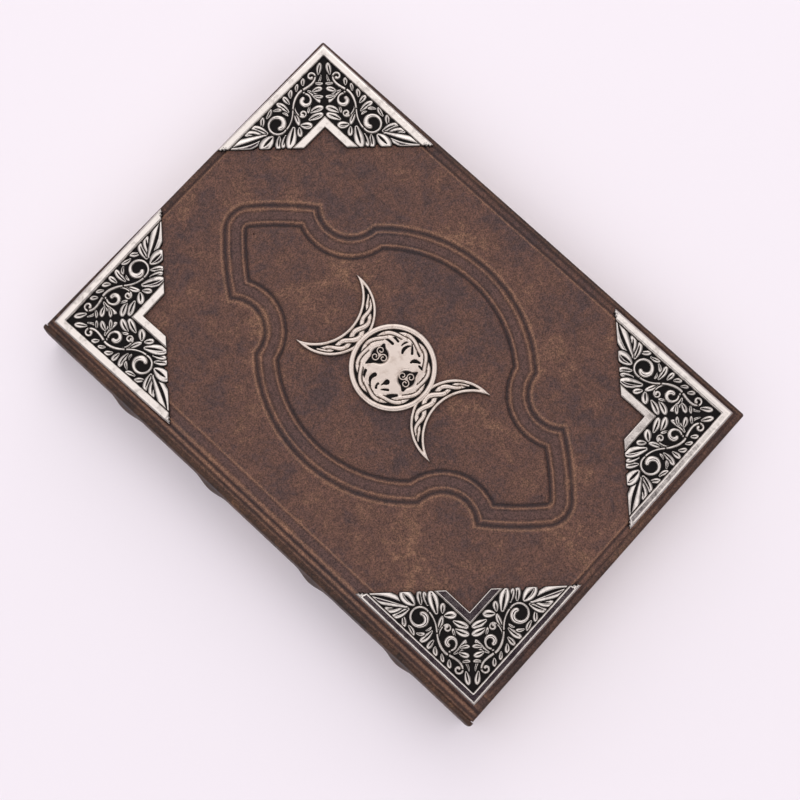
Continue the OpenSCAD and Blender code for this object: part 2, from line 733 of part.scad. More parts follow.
// Point of a strand of the woven ring at a share f of its turn
function ring_point(f, strand) =
    (ring_mid_r + ring_sway * sin(360 * ring_lobes * f + 180 * strand)) * at_angle(360 * f);

// Stretch of a ring strand about one of its crossings
module ring_stretch(crossing, strand, share, grow) {
    ribbon([for (i = [-3:3]) ring_point((crossing + share * i / 6) / (2 * ring_lobes), strand)],
           [strand_w / 2, strand_w / 2], grow);
}

// Two strands that pass over and under each other around the tree
module branch_ring() {
    difference() {
        for (strand = [0, 1])
            ribbon([for (i = [0:RING_STEPS]) ring_point(i / RING_STEPS, strand)],
                   [strand_w / 2, strand_w / 2]);
        for (k = [0:2 * ring_lobes - 1]) ring_stretch(k, k % 2, 0.5, strand_gap);
    }
    for (k = [0:2 * ring_lobes - 1]) ring_stretch(k, k % 2, 0.8, 0);
}

// The trunk lies across the book, its boughs towards the fore edge and its roots towards the spine
module tree() {
    difference() {
        circle(ring_in_r + strand_gap, $fn = 90);
        for (s = [1, -1]) translate([0, s * triskele_at]) {
            circle(triskele_r + pocket_gap);
            // each opening runs out to a point and a blunt horn
            ribbon([[0, 0], [-5.9 * s, s * 1.8]], [2.6, 0.25]);
            ribbon([[0, 0], [4.1 * s, s * 1.7]], [2.8, 0.6]);
        }
        root_slots();
        bough_slots();
    }
}

// Dark openings between the roots
module root_slots() {
    ribbon(curve([-11.4, 1.4], [-10, 3.4], [-8.8, 4.2], [-6.9, 3.3], 6), [0.12, 0.3, 0.5, 0.62]);
    ribbon(curve([-12.2, 4.2], [-11, 5.8], [-9.4, 6.6], [-8.1, 7.1], 4), [0.3, 0.34, 0.45]);
    ribbon(curve([-8.2, -1.4], [-7.4, -1.4], [-6.8, -1.9], [-5.9, -2.2], 4), [0.12, 0.3, 0.8]);
    ribbon(curve([-9.6, -2.6], [-9, -3], [-8.4, -3.8], [-7.9, -4.6], 4), [0.15, 0.32, 0.36]);
    ribbon(curve([-11.8, -5.4], [-10.4, -6], [-8.6, -7], [-7.2, -8.5], 5), [0.3, 0.7, 0.4]);
    ribbon(curve([-8.2, 10.4], [-9.4, 9.6], [-10.6, 8.6], [-11.6, 7], 4), [0.3, 0.36, 0.3]);
}

// Dark openings between the boughs
module bough_slots() {
    ribbon(curve([6.6, 1.1], [7.8, 2], [9.6, 1.9], [10.9, 0.6], 5), [0.3, 0.48, 0.42, 0.15]);
    ribbon(curve([9, -1.9], [10, -1.1], [11, -0.2], [11.9, 0.8], 4), [0.34, 0.3, 0.12]);
    ribbon(curve([10.2, -4.6], [10.8, -3.6], [11.6, -2.8], [12.4, -2.1], 4), [0.3, 0.55, 0.4]);
    ribbon(curve([6.2, -3.9], [7.4, -4], [8, -5], [8.3, -6.5], 4), [0.3, 0.6, 0.3]);
    ribbon(curve([7.2, -7.3], [7.1, -8.4], [7.2, -9.4], [7.5, -10.3], 4), [0.3, 0.4, 0.3]);
    ribbon(curve([5.6, 11], [6.6, 10.4], [6.9, 8.6], [6.8, 6.4], 5), [0.36, 0.34, 0.4]);
    ribbon(curve([9.2, 8.2], [9.2, 7.2], [9.1, 6.4], [8.9, 5.4], 4), [0.4, 0.34, 0.3]);
    ribbon(curve([10.6, 7.2], [10.6, 5.6], [11.2, 4.6], [13, 3.2], 5), [0.28, 0.26, 0.3]);
}

// Point of a strand of a crescent's knot at a share f of its length
function knot_point(f, strand) = let(t = 2 * f - 1)
    [0, (crescent_at + crescent_inner_at) / 2]
    + ((crescent_r + crescent_inner_r) / 2 + knot_sway * pow(max(1 - t * t, 0), 0.7)
        * sin(180 * (knot_crossings * f + strand))) * at_angle(-90 + knot_reach * t);

function knot_width(f) = 0.25 + (strand_w / 2 - 0.2) * (1 - pow(2 * f - 1, 2));

// Stretch of a knot strand from one share of its length to another
module knot_stretch(from, to, strand, grow, n) {
    shares = [for (i = [0:n]) from + (to - from) * i / n];
    ribbon([for (f = shares) knot_point(f, strand)], [for (f = shares) knot_width(f)], grow);
}

// Knot of two strands that pass over and under each other along a crescent
module crescent_knot() {
    difference() {
        for (strand = [0, 1]) knot_stretch(0, 1, strand, 0, 48);
        for (k = [1:knot_crossings - 1])
            knot_stretch((k - 0.25) / knot_crossings, (k + 0.25) / knot_crossings, k % 2, strand_gap, 6);
    }
    for (k = [1:knot_crossings - 1])
        knot_stretch((k - 0.4) / knot_crossings, (k + 0.4) / knot_crossings, k % 2, 0, 6);
}

module emblem_ground() {
    linear_extrude(emblem_base_t) {
        circle(moon_r, $fn = 180);
        crescent(0);
        mirror([0, 1]) crescent(0);
    }
}

module emblem_rims() {
    difference() {
        circle(moon_r, $fn = 180);
        circle(moon_r - moon_rim, $fn = 180);
    }
    for (flip = [0, 1]) mirror([0, flip]) difference() {
        crescent(0);
        crescent(crescent_rim);
        circle(moon_r - moon_rim, $fn = 180);
    }
}

module emblem_lines() {
    offset(delta = join) {
        difference() {
            tree();
            for (strand = [0, 1])
                ribbon([for (i = [0:RING_STEPS]) ring_point(i / RING_STEPS, strand)],
                       [strand_w / 2, strand_w / 2], strand_gap);
        }
        branch_ring();
        for (s = [-1, 1]) translate([0, s * triskele_at]) rotate(90 * s) triskele(triskele_r);
        crescent_knot();
        mirror([0, 1]) crescent_knot();
    }
}

module moon_emblem() {
    color(SILVER) front_place() translate([emblem_x, emblem_y, cover_t + panel_rise]) {
        emblem_ground();
        linear_extrude(emblem_t) emblem_rims();
        linear_extrude(emblem_t - line_drop) emblem_lines();
    }
}

text_block();
spine_lining();
head_band();
tail_band();
raised_band_1();
raised_band_2();
raised_band_3();
raised_band_4();
spine_leather();
front_board();
front_leather();
front_pastedown();
back_board();
back_leather();
back_pastedown();
corner_head_spine();
corner_head_fore();
corner_tail_fore();
corner_tail_spine();
moon_emblem();
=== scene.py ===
"""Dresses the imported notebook: tooled leather, cast silvered corner plates, moon emblem and pages."""

import json
import logging
import math
from dataclasses import dataclass, field, replace
from enum import Enum
from typing import Callable, Sequence

import bmesh
import bpy
import numpy as np
from mathutils import Matrix, Vector
from mathutils.geometry import tessellate_polygon


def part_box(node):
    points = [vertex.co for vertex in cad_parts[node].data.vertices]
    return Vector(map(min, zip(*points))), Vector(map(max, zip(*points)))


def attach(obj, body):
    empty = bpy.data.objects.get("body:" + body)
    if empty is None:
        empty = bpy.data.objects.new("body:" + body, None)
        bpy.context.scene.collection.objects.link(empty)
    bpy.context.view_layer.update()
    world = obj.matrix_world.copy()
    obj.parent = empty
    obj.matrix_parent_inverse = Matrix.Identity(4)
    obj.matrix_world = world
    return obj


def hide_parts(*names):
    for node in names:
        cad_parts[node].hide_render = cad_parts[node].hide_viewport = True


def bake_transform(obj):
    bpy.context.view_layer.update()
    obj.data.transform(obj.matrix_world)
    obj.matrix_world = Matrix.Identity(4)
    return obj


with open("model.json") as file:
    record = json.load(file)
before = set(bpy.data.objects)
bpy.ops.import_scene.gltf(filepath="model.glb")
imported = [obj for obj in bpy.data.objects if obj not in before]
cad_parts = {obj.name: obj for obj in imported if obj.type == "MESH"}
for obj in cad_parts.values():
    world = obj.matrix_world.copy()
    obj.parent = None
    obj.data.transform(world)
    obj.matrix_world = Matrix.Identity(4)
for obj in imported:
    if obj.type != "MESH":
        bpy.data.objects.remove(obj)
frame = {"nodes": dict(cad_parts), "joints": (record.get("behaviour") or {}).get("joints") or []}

LOG = logging.getLogger("notebook")
MM = 0.001

Point = tuple[float, float]
Triple = tuple[float, float, float]
Colour = tuple[float, float, float, float]
Socket = bpy.types.NodeSocket
Node = bpy.types.Node
Tree = bpy.types.NodeTree
Material = bpy.types.Material
Piece = bpy.types.Object


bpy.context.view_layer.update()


# Shapes


def direction(angle: float) -> np.ndarray:
    """Unit vector at an angle in degrees."""
    return np.array([math.cos(math.radians(angle)), math.sin(math.radians(angle))])


def spread(values: Sequence[float], count: int) -> np.ndarray:
    """Evenly spaced values that follow a short list from its first to its last entry."""
    return np.interp(np.linspace(0, 1, count), np.linspace(0, 1, len(values)), values)


def smooth_step(value: np.ndarray, start: float, end: float) -> np.ndarray:
    """0 before start, 1 after end and an even S between them."""
    t = np.clip((value - start) / (end - start), 0, 1)
    return t * t * (3 - 2 * t)


def bell(value: np.ndarray, centre: float, width: float) -> np.ndarray:
    """Rounded hump of height 1 that has faded out at half its width from its centre."""
    return np.exp(-(((value - centre) / (0.3 * width)) ** 2))


def circles_meet(c0: np.ndarray, r0: float, c1: np.ndarray, r1: float, near: np.ndarray) -> np.ndarray:
    """The point where two circles cross.

    Args:
        c0: centre of the first circle.
        r0: its radius.
        c1: centre of the second circle.
        r1: its radius.
        near: the crossing that lies nearer to this point is taken.

    Returns:
        The crossing.
    """
    gap = c1 - c0
    distance = np.linalg.norm(gap)
    along = (r0 * r0 - r1 * r1 + distance * distance) / (2 * distance)
    across = math.sqrt(max(r0 * r0 - along * along, 0.0))
    unit = gap / distance
    foot = c0 + along * unit
    side = np.array([-unit[1], unit[0]]) * across
    return min((foot + side, foot - side), key=lambda p: np.linalg.norm(p - near))


def arc(centre: np.ndarray, radius: float, start: float, end: float, count: int) -> np.ndarray:
    """Points along an arc, its angles in degrees."""
    return np.array([centre + radius * direction(a) for a in np.linspace(start, end, count)])


def bearing(point: np.ndarray, centre: np.ndarray) -> float:
    """Angle in degrees from a centre to a point, from 0 to 360."""
    return math.degrees(math.atan2(point[1] - centre[1], point[0] - centre[0])) % 360


class Shell:
    """Gathers the points and faces of one mesh, in millimetres, with masks stored on its points."""

    def __init__(self) -> None:
        """Starts empty."""
        self.points: list[np.ndarray] = []
        self.faces: list[tuple[int, ...]] = []
        self.masks: dict[str, list[np.ndarray]] = {}
        self.count = 0

    def add(self, points: np.ndarray, faces: Sequence[tuple[int, ...]], **masks: np.ndarray) -> int:
        """Adds a part.

        Args:
            points: its points, one row each.
            faces: its faces as indices into points.
            masks: one value per point for each named mask; a mask that is left out is 0 there.

        Returns:
            The index of the part's first point.
        """
        first = self.count
        for name in set(self.masks) | set(masks):
            values = self.masks.setdefault(name, [np.zeros(first)])
            values.append(np.asarray(masks.get(name, np.zeros(len(points))), float))
        self.points.append(np.asarray(points, float))
        self.faces.extend(tuple(i + first for i in f) for f in faces)
        self.count += len(points)
        return first

    def build(self, name: str, weld: float = 0.0) -> Piece:
        """Makes the Blender object.

        Args:
            name: the piece's name.
            weld: points closer than this, in millimetres, become one.

        Returns:
            The object, smooth shaded and in metres.
        """
        mesh = bpy.data.meshes.new(name)
        mesh.from_pydata((np.concatenate(self.points) * MM).tolist(), [], self.faces)
        for mask, values in self.masks.items():
            layer = mesh.attributes.new(mask, "FLOAT", "POINT")
            layer.data.foreach_set("value", np.concatenate(values).astype(np.float32))
        if weld:
            tidy = bmesh.new()
            tidy.from_mesh(mesh)
            bmesh.ops.remove_doubles(tidy, verts=tidy.verts, dist=weld * MM)
            bmesh.ops.dissolve_degenerate(tidy, edges=tidy.edges, dist=weld * MM)
            bmesh.ops.recalc_face_normals(tidy, faces=tidy.faces)
            tidy.to_mesh(mesh)
            tidy.free()
        mesh.polygons.foreach_set("use_smooth", [True] * len(mesh.polygons))
        mesh.update()
        made = bpy.data.objects.new(name, mesh)
        bpy.context.scene.collection.objects.link(made)
        return made


def strip_faces(rows: int, columns: int, closed: bool = False) -> list[tuple[int, ...]]:
    """Quads that join rows of points.

    Args:
        rows: number of rows.
        columns: points in each row.
        closed: whether each row is a loop.

    Returns:
        The faces.
    """
    faces = []
    for row in range(rows - 1):
        for column in range(columns if closed else columns - 1):
            here, beside = row * columns + column, row * columns + (column + 1) % columns
            faces.append((here, beside, beside + columns, here + columns))
    return faces


# Finishes


class Graph:
    """Short way to lay out shader nodes in a material or a node group."""

    def __init__(self, tree: Tree) -> None:
        """Works on one node tree."""
        self.tree = tree

    def connect(self, node: Node, inputs: dict[str | int, object]) -> None:
        """Links or sets a node's inputs, by socket name or index."""
        for key, value in inputs.items():
            if isinstance(value, Socket):
                self.tree.links.new(value, node.inputs[key])
            else:
                node.inputs[key].default_value = value

    def node(self, kind: str, **settings: object) -> Node:
        """Adds a node.

        Args:
            kind: the node's type name.
            settings: attributes by name; an entry of inputs is set or linked by socket name or index.

        Returns:
            The node.
        """
        made = self.tree.nodes.new(kind)
        inputs = settings.pop("inputs", {})
        for name, value in settings.items():
            setattr(made, name, value)
        self.connect(made, inputs)
        return made

    def math(self, operation: str, a: object, b: object = 0.0, clamp: bool = False) -> Socket:
        """The result of a math node on two numbers or sockets."""
        inputs = {0: a, 1: b}
        return self.node("ShaderNodeMath", operation=operation, use_clamp=clamp, inputs=inputs).outputs[0]

    def plus(self, a: object, b: object) -> Socket:
        """The sum of two numbers or sockets."""
        return self.math("ADD", a, b)

    def minus(self, a: object, b: object) -> Socket:
        """The difference of two numbers or sockets."""
        return self.math("SUBTRACT", a, b)

    def times(self, a: object, b: object) -> Socket:
        """The product of two numbers or sockets."""
        return self.math("MULTIPLY", a, b)

    def mix(self, amount: object, a: object, b: object) -> Socket:
        """The result of a colour mix, a where amount is 0 and b where it is 1."""
        return self.node("ShaderNodeMix", data_type="RGBA", inputs={0: amount, 6: a, 7: b}).outputs[2]

    def remap(self, value: object, low: float, high: float, start: float = 0.0, end: float = 1.0) -> Socket:
        """Value moved from the range low to high into start to end, clamped."""
        inputs = {"Value": value, "From Min": low, "From Max": high, "To Min": start, "To Max": end}
        return self.node("ShaderNodeMapRange", interpolation_type="SMOOTHSTEP", inputs=inputs).outputs[0]

    def noise(self, place: Socket, size_mm: float, detail: float, rough: float,
              warp: float = 0.0) -> Socket:
        """Noise whose blobs are about size_mm across."""
        inputs = {"Vector": place, "Scale": 1 / (size_mm * MM), "Detail": detail, "Roughness": rough,
                  "Distortion": warp}
        return self.node("ShaderNodeTexNoise", inputs=inputs).outputs[0]

    def tint(self, value: Socket, colour: Socket) -> Socket:
        """A colour made lighter or darker by a value."""
        return self.node("ShaderNodeHueSaturation", inputs={"Value": value, "Color": colour}).outputs[0]

    def place(self, stretch: Triple = (1, 1, 1)) -> Socket:
        """The piece's own coordinates, in metres, stretched along its axes."""
        source = self.node("ShaderNodeTexCoord").outputs["Object"]
        return self.node("ShaderNodeMapping", inputs={"Vector": source, "Scale": stretch}).outputs[0]

    def mask(self, name: str) -> Socket:
        """A mask stored on the mesh's points."""
        return self.node("ShaderNodeAttribute", attribute_name=name).outputs["Fac"]


def rgb(red: float, green: float, blue: float) -> Colour:
    """A colour of the photograph's 0 to 255 scale as the shader's linear colour."""
    def linear(level: float) -> float:
        """One channel as light."""
        level /= 255
        return level / 12.92 if level <= 0.04045 else ((level + 0.055) / 1.055) ** 2.4

    return (linear(red), linear(green), linear(blue), 1.0)


def new_group(name: str, inputs: dict[str, tuple[str, object]],
              outputs: dict[str, str]) -> tuple[Graph, dict, dict]:
    """Starts a shader node group.

    Args:
        name: the group's name.
        inputs: socket kind and default for each input.
        outputs: socket kind for each output.

    Returns:
        The graph, the group's input sockets by name and its output sockets by name.
    """
    group = bpy.data.node_groups.new(name, "ShaderNodeTree")
    for label, (kind, default) in inputs.items():
        group.interface.new_socket(label, in_out="INPUT", socket_type=kind).default_value = default
    for label, kind in outputs.items():
        group.interface.new_socket(label, in_out="OUTPUT", socket_type=kind)
    graph = Graph(group)
    source, sink = graph.node("NodeGroupInput"), graph.node("NodeGroupOutput")
    return graph, {k: source.outputs[k] for k in inputs}, {k: sink.inputs[k] for k in outputs}


FLOAT, COLOUR, VECTOR = "NodeSocketFloat", "NodeSocketColor", "NodeSocketVector"


class EffectGroup(Enum):
    """Shader effects that more than one finish uses."""

    MOTTLE = "mottle"
    PORES = "pores"


def make_mottle() -> Tree:
    """Cloudy change between three colours at two sizes, as oiled hide or much-used paper has.

    Returns:
        The node group.
    """
    graph, given, out = new_group(
        EffectGroup.MOTTLE.value,
        {"Place": (VECTOR, (0, 0, 0)), "Dark": (COLOUR, (0, 0, 0, 1)),
         "Middle": (COLOUR, (0.2, 0.2, 0.2, 1)), "Light": (COLOUR, (0.5, 0.5, 0.5, 1)),
         "Contrast": (FLOAT, 1.0)},
        {"Color": COLOUR, "Cloud": FLOAT})
    broad = graph.noise(given["Place"], size_mm=30, detail=5, rough=0.62, warp=0.5)
    patchy = graph.noise(given["Place"], size_mm=7, detail=6, rough=0.7, warp=0.7)
    fine = graph.noise(given["Place"], size_mm=1.2, detail=3, rough=0.65)
    coarse = graph.plus(graph.times(broad, 0.45), graph.times(patchy, 0.35))
    cloud = graph.plus(coarse, graph.times(fine, 0.2))
    centred = graph.times(graph.minus(cloud, 0.5), given["Contrast"])
    dark_to_middle = graph.mix(graph.remap(centred, -0.1, 0.03), given["Dark"], given["Middle"])
    tone = graph.mix(graph.remap(centred, 0.02, 0.16), dark_to_middle, given["Light"])
    graph.tree.links.new(tone, out["Color"])
    graph.tree.links.new(cloud, out["Cloud"])
    return graph.tree


def make_pores() -> Tree:
    """Small pebbled cells with soft creases, for a Bump node.

    Returns:
        The node group.
    """
    graph, given, out = new_group(
        EffectGroup.PORES.value, {"Place": (VECTOR, (0, 0, 0)), "Size": (FLOAT, 0.9)}, {"Height": FLOAT})
    scale = graph.math("DIVIDE", 1 / MM, given["Size"])
    pebbled = {"Vector": given["Place"], "Scale": scale, "Smoothness": 0.6}
    cells = graph.node("ShaderNodeTexVoronoi", feature="SMOOTH_F1", inputs=pebbled).outputs["Distance"]
    coarser = {"Vector": given["Place"], "Scale": graph.times(scale, 0.35), "Detail": 4.0}
    crumple = graph.node("ShaderNodeTexNoise", inputs=coarser).outputs[0]
    height = graph.plus(graph.times(cells, -0.6), crumple)
    graph.tree.links.new(height, out["Height"])
    return graph.tree


EFFECTS: dict[EffectGroup, Tree] = {}


def use_effect(graph: Graph, which: EffectGroup, **inputs: object) -> Node:
    """Places an effect group, which is built the first time.

    Args:
        graph: the material's graph.
        which: the effect.
        inputs: values or sockets for the group's inputs, by name.

    Returns:
        The group's node.
    """
    makers: dict[EffectGroup, Callable[[], Tree]] = {
        EffectGroup.MOTTLE: make_mottle, EffectGroup.PORES: make_pores}
    if which not in EFFECTS:
        EFFECTS[which] = makers[which]()
    return graph.node("ShaderNodeGroup", node_tree=EFFECTS[which], inputs=inputs)


def start_material(name: str) -> tuple[Material, Graph, Node]:
    """A new material, its graph and its Principled shader."""
    material = bpy.data.materials.new(name)
    material.use_nodes = True
    return material, Graph(material.node_tree), material.node_tree.nodes["Principled BSDF"]


def add_bump(graph: Graph, shader: Node, height: Socket, depth_mm: float,
             under: Socket | None = None) -> Socket:
    """Feeds a height to the shader's normal.

    Args:
        graph: the material's graph.
        shader: its Principled shader.
        height: surface height from 0 to 1.
        depth_mm: how high 1 stands.
        under: the normal of a coarser bump below this one.

    Returns:
        The normal, for a finer bump on top.
    """
    inputs = {"Height": height, "Distance": depth_mm * MM, "Strength": 1.0}
    if under is not None:
        inputs["Normal"] = under
    normal = graph.node("ShaderNodeBump", inputs=inputs).outputs[0]
    graph.connect(shader, {"Normal": normal})
    return normal


@dataclass(frozen=True)
class LeatherFinish:
    """Oiled brown hide: cloudy colour, pebbled grain, dark tooled grooves and ridges lightened as a painted
    highlight.
    """

    name: str = "leather"
    dark: Colour = rgb(70, 51, 49)
    middle: Colour = rgb(90, 62, 52)
    light: Colour = rgb(123, 90, 70)
    groove: Colour = rgb(36, 26, 28)
    # ridge: painted highlight colour laid on the tooled ridges
    ridge: Colour = rgb(136, 100, 78)
    pressed: Colour = rgb(78, 56, 52)
    # edge: darker leather on the edges and beside the hinge, partly worn colour and partly painted shade
    edge: Colour = rgb(44, 28, 22)
    pressed_share: float = 0.75
    ridge_highlight_share: float = 0.6
    groove_share: float = 0.9
    grain_mm: float = 0.9
    grain_depth_mm: float = 0.09
    fine_mm: float = 0.5
    fleck_mm: float = 2.4
    sag_mm: float = 22.0
    sag_depth_mm: float = 0.5
    contrast: float = 1.0
    specular: float = 0.28

    def make(self) -> Material:
        """The material; it reads the masks groove, ridge, pressed and edge.

        Returns:
            The material.
        """
        material, graph, shader = start_material(self.name)
        place = graph.place()
        mottle = use_effect(graph, EffectGroup.MOTTLE, Place=place, Dark=self.dark, Middle=self.middle,
                            Light=self.light, Contrast=self.contrast)
        cloud, tone = mottle.outputs["Cloud"], mottle.outputs["Color"]
        # the ridge colour mixed in here is a painted highlight on the tooled ridges
        for name, share, colour in (("pressed", self.pressed_share, self.pressed),
                                    ("ridge", self.ridge_highlight_share, self.ridge),
                                    ("groove", self.groove_share, self.groove)):
            tone = graph.mix(graph.times(graph.mask(name), share), tone, colour)
        # darkening by the edge mask: partly worn colour, partly painted shade on the edges, sides and joint
        edge_wear_and_shade = graph.times(graph.mask("edge"), graph.remap(cloud, 0.35, 0.6, 1.0, 0.6))
        tone = graph.mix(edge_wear_and_shade, tone, self.edge)
        fine = graph.remap(graph.noise(place, self.fine_mm, 2, 0.6), 0.28, 0.72, 0.45, 1.6)
        flecks = graph.remap(graph.noise(place, self.fleck_mm, 4, 0.7, 0.4), 0.3, 0.7, 0.88, 1.12)
        graph.connect(shader, {
            "Base Color": graph.tint(graph.times(fine, flecks), tone),
            "Roughness": graph.remap(cloud, 0.3, 0.7, 0.5, 0.66),
            "Specular IOR Level": self.specular})
        sag = add_bump(graph, shader, graph.noise(place, self.sag_mm, 2, 0.4), self.sag_depth_mm)
        pores = use_effect(graph, EffectGroup.PORES, Place=place, Size=self.grain_mm)
        add_bump(graph, shader, pores.outputs["Height"], self.grain_depth_mm, sag)
        return material


@dataclass(frozen=True)
class SilverFinish:
    """Silvered casting with blackened recesses, rubbed bright on its high points."""

    name: str = "antique_silver"
    bright: Colour = rgb(200, 193, 187)
    dull: Colour = rgb(168, 161, 156)
    black: Colour = rgb(14, 10, 10)
    polish_from: float = 0.34
    polish_to: float = 0.86
    roughness: float = 0.13
    recess_roughness: float = 0.6
    specular: float = 0.12
    cloud_mm: float = 3.5
    grit_mm: float = 0.35
    grit_depth_mm: float = 0.006
    dent_mm: float = 6.0
    dent_depth_mm: float = 0.08

    def make(self) -> Material:
        """The material; it reads the mask relief, 0 in the recesses and 1 on the high points.

        Returns:
            The material.
        """
        material, graph, shader = start_material(self.name)
        place = graph.place()
        cloud = graph.noise(place, self.cloud_mm, 4, 0.6)
        grit = graph.noise(place, self.grit_mm, 3, 0.6)
        wear = graph.plus(graph.mask("relief"), graph.times(graph.minus(grit, 0.5), 0.35))
        polish = graph.remap(wear, self.polish_from, self.polish_to)
        metal = graph.mix(graph.remap(cloud, 0.3, 0.5), self.dull, self.bright)
        smooth = graph.remap(polish, 0, 1, self.recess_roughness, self.roughness)
        graph.connect(shader, {
            "Base Color": graph.mix(polish, self.black, metal),
            "Metallic": graph.remap(polish, 0, 1),
            "Roughness": graph.plus(smooth, graph.times(graph.minus(cloud, 0.5), 0.1)),
            "Specular IOR Level": self.specular})
        dent = add_bump(graph, shader, graph.noise(place, self.dent_mm, 3, 0.5), self.dent_depth_mm)
        add_bump(graph, shader, grit, self.grit_depth_mm, dent)
        return material


@dataclass(frozen=True)
class PaperFinish:
    """Cream paper, with painted shade in the lines between stacked leaves where it is seen from their edge.
    """

    name: str = "pages"
    dark: Colour = rgb(215, 201, 172)
    middle: Colour = rgb(224, 211, 184)
    light: Colour = rgb(231, 219, 194)
    leaf_mm: float = 0.22
    leaf_depth_mm: float = 0.15
    fibre_mm: float = 0.6
    fibre_depth_mm: float = 0.02
    roughness: float = 0.85
    specular: float = 0.2
    stacked: bool = True

    def make(self) -> Material:
        """The material.

        Returns:
            The material.
        """
        material, graph, shader = start_material(self.name)
        place = graph.place()
        mottle = use_effect(graph, EffectGroup.MOTTLE, Place=place, Dark=self.dark, Middle=self.middle,
                            Light=self.light)
        tone = mottle.outputs["Color"]
        if self.stacked:
            leaves = graph.noise(graph.place((0.02, 0.02, 1)), self.leaf_mm, 3, 0.7)
            facing = graph.node("ShaderNodeTexCoord").outputs["Normal"]
            upward = graph.node("ShaderNodeSeparateXYZ", inputs={"Vector": facing}).outputs["Z"]
            edge = graph.math("SUBTRACT", 1.0, graph.math("ABSOLUTE", upward), clamp=True)
            # painted shade: darker lines between the stacked leaves on the sides of the block
            leaf_gap_shade = graph.times(edge, graph.remap(leaves, 0.35, 0.65, 0.3, 0.0))
            tone = graph.tint(graph.minus(1.0, leaf_gap_shade), tone)
            add_bump(graph, shader, graph.times(leaves, edge), self.leaf_depth_mm)
        else:
            add_bump(graph, shader, graph.noise(place, self.fibre_mm, 3, 0.6), self.fibre_depth_mm)
        graph.connect(shader, {
            "Base Color": tone,
            "Roughness": self.roughness,
            "Specular IOR Level": self.specular})
        return material


@dataclass(frozen=True)
class ThreadFinish:
    """Silk wound over a bead in two colours."""

    name: str = "headband_thread"
    first: Colour = rgb(120, 60, 36)
    second: Colour = rgb(214, 190, 150)
    pitch_mm: float = 1.1
    depth_mm: float = 0.15
    roughness: float = 0.55

    def make(self) -> Material:
        """The material.

        Returns:
            The material.
        """
        material, graph, shader = start_material(self.name)
        scale = 1 / (self.pitch_mm * MM) / math.tau * 2
        inputs = {"Vector": graph.place(), "Scale": scale, "Distortion": 0.4}
        wraps = graph.node("ShaderNodeTexWave", bands_direction="Z", inputs=inputs).outputs["Fac"]
        tone = graph.mix(graph.remap(wraps, 0.4, 0.6), self.first, self.second)
        graph.connect(shader, {"Base Color": tone, "Roughness": self.roughness})
        add_bump(graph, shader, wraps, self.depth_mm)
        return material


@dataclass(frozen=True)
class PlainFinish:
    """Matt stuff with a cloudy colour and a fibrous surface, such as board, mull or a leather strip."""

    name: str
    dark: Colour
    middle: Colour
    light: Colour
    fibre_mm: float = 0.5
    fibre_depth_mm: float = 0.05
    roughness: float = 0.8

    def make(self) -> Material:
        """The material.

        Returns:
            The material.
        """
        material, graph, shader = start_material(self.name)
        place = graph.place()
        mottle = use_effect(graph, EffectGroup.MOTTLE, Place=place, Dark=self.dark, Middle=self.middle,
                            Light=self.light)
        graph.connect(shader, {"Base Color": mottle.outputs["Color"], "Roughness": self.roughness})
        add_bump(graph, shader, graph.noise(place, self.fibre_mm, 3, 0.6), self.fibre_depth_mm)
        return material


FINISHED: dict[str, Material] = {}


class Finish(Enum):
    """The finishes, named as the record's material slots."""

    LEATHER = LeatherFinish()
    # darker copy of the cover leather: painted shade on the spine, which is turned away from the light
    SHADED_SPINE_LEATHER = LeatherFinish(name="spine_leather", dark=rgb(42, 28, 22), middle=rgb(64, 43, 32),
                                  light=rgb(100, 70, 48), contrast=1.2)
    SILVER = SilverFinish()
    EMBLEM_SILVER = SilverFinish(name="emblem_silver", bright=rgb(210, 197, 187), dull=rgb(190, 175, 164),
                                 polish_from=0.3, polish_to=0.75, roughness=0.34)
    PAGES = PaperFinish()
    ENDPAPER = PaperFinish(name="endpaper", stacked=False)
    THREAD = ThreadFinish()
    BOARD = PlainFinish("board", rgb(120, 108, 90), rgb(142, 130, 110), rgb(160, 148, 126))
    MULL = PlainFinish("lining", rgb(196, 184, 156), rgb(212, 202, 176), rgb(226, 216, 192), 0.8, 0.12)
    CORE = PlainFinish("band_core", rgb(120, 86, 56), rgb(146, 108, 72), rgb(166, 126, 88))

    def paint(self, piece: Piece, slot: str) -> None:
        """Gives a piece this finish."""
        name = self.value.name
        if name not in FINISHED:
            FINISHED[name] = self.value.make()
        piece.data.materials.clear()
        piece.data.materials.append(FINISHED[name])


# The book's own places, read from the frame in millimetres


@dataclass(frozen=True)
class BookPlaces:
    """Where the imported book's faces are, in millimetres. The shut book lies between 0 and top_z."""

    hinge_x: float
    fore_x: float
    half_height: float
    cover_t: float
    top_z: float

    @classmethod
    def from_frame(cls) -> "BookPlaces":
        """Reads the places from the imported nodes."""
        front_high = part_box("front_leather")[1] / MM
        back_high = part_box("back_leather")[1] / MM
        hinge = frame["joints"][0]["pos_m"]
        return cls(hinge_x=hinge[0] / MM, fore_x=front_high.x, half_height=front_high.y,
                   cover_t=back_high.z, top_z=hinge[2] / MM)

    @property
    def cover_w(self) -> float:
        """Width of a cover from its hinge line."""
        return self.fore_x - self.hinge_x


# Tooled leather


@dataclass(frozen=True)
class ToolMark:
    """One tooled line: where it runs, how wide and deep it is."""

    at: float
    width: float
    depth: float = 0.5


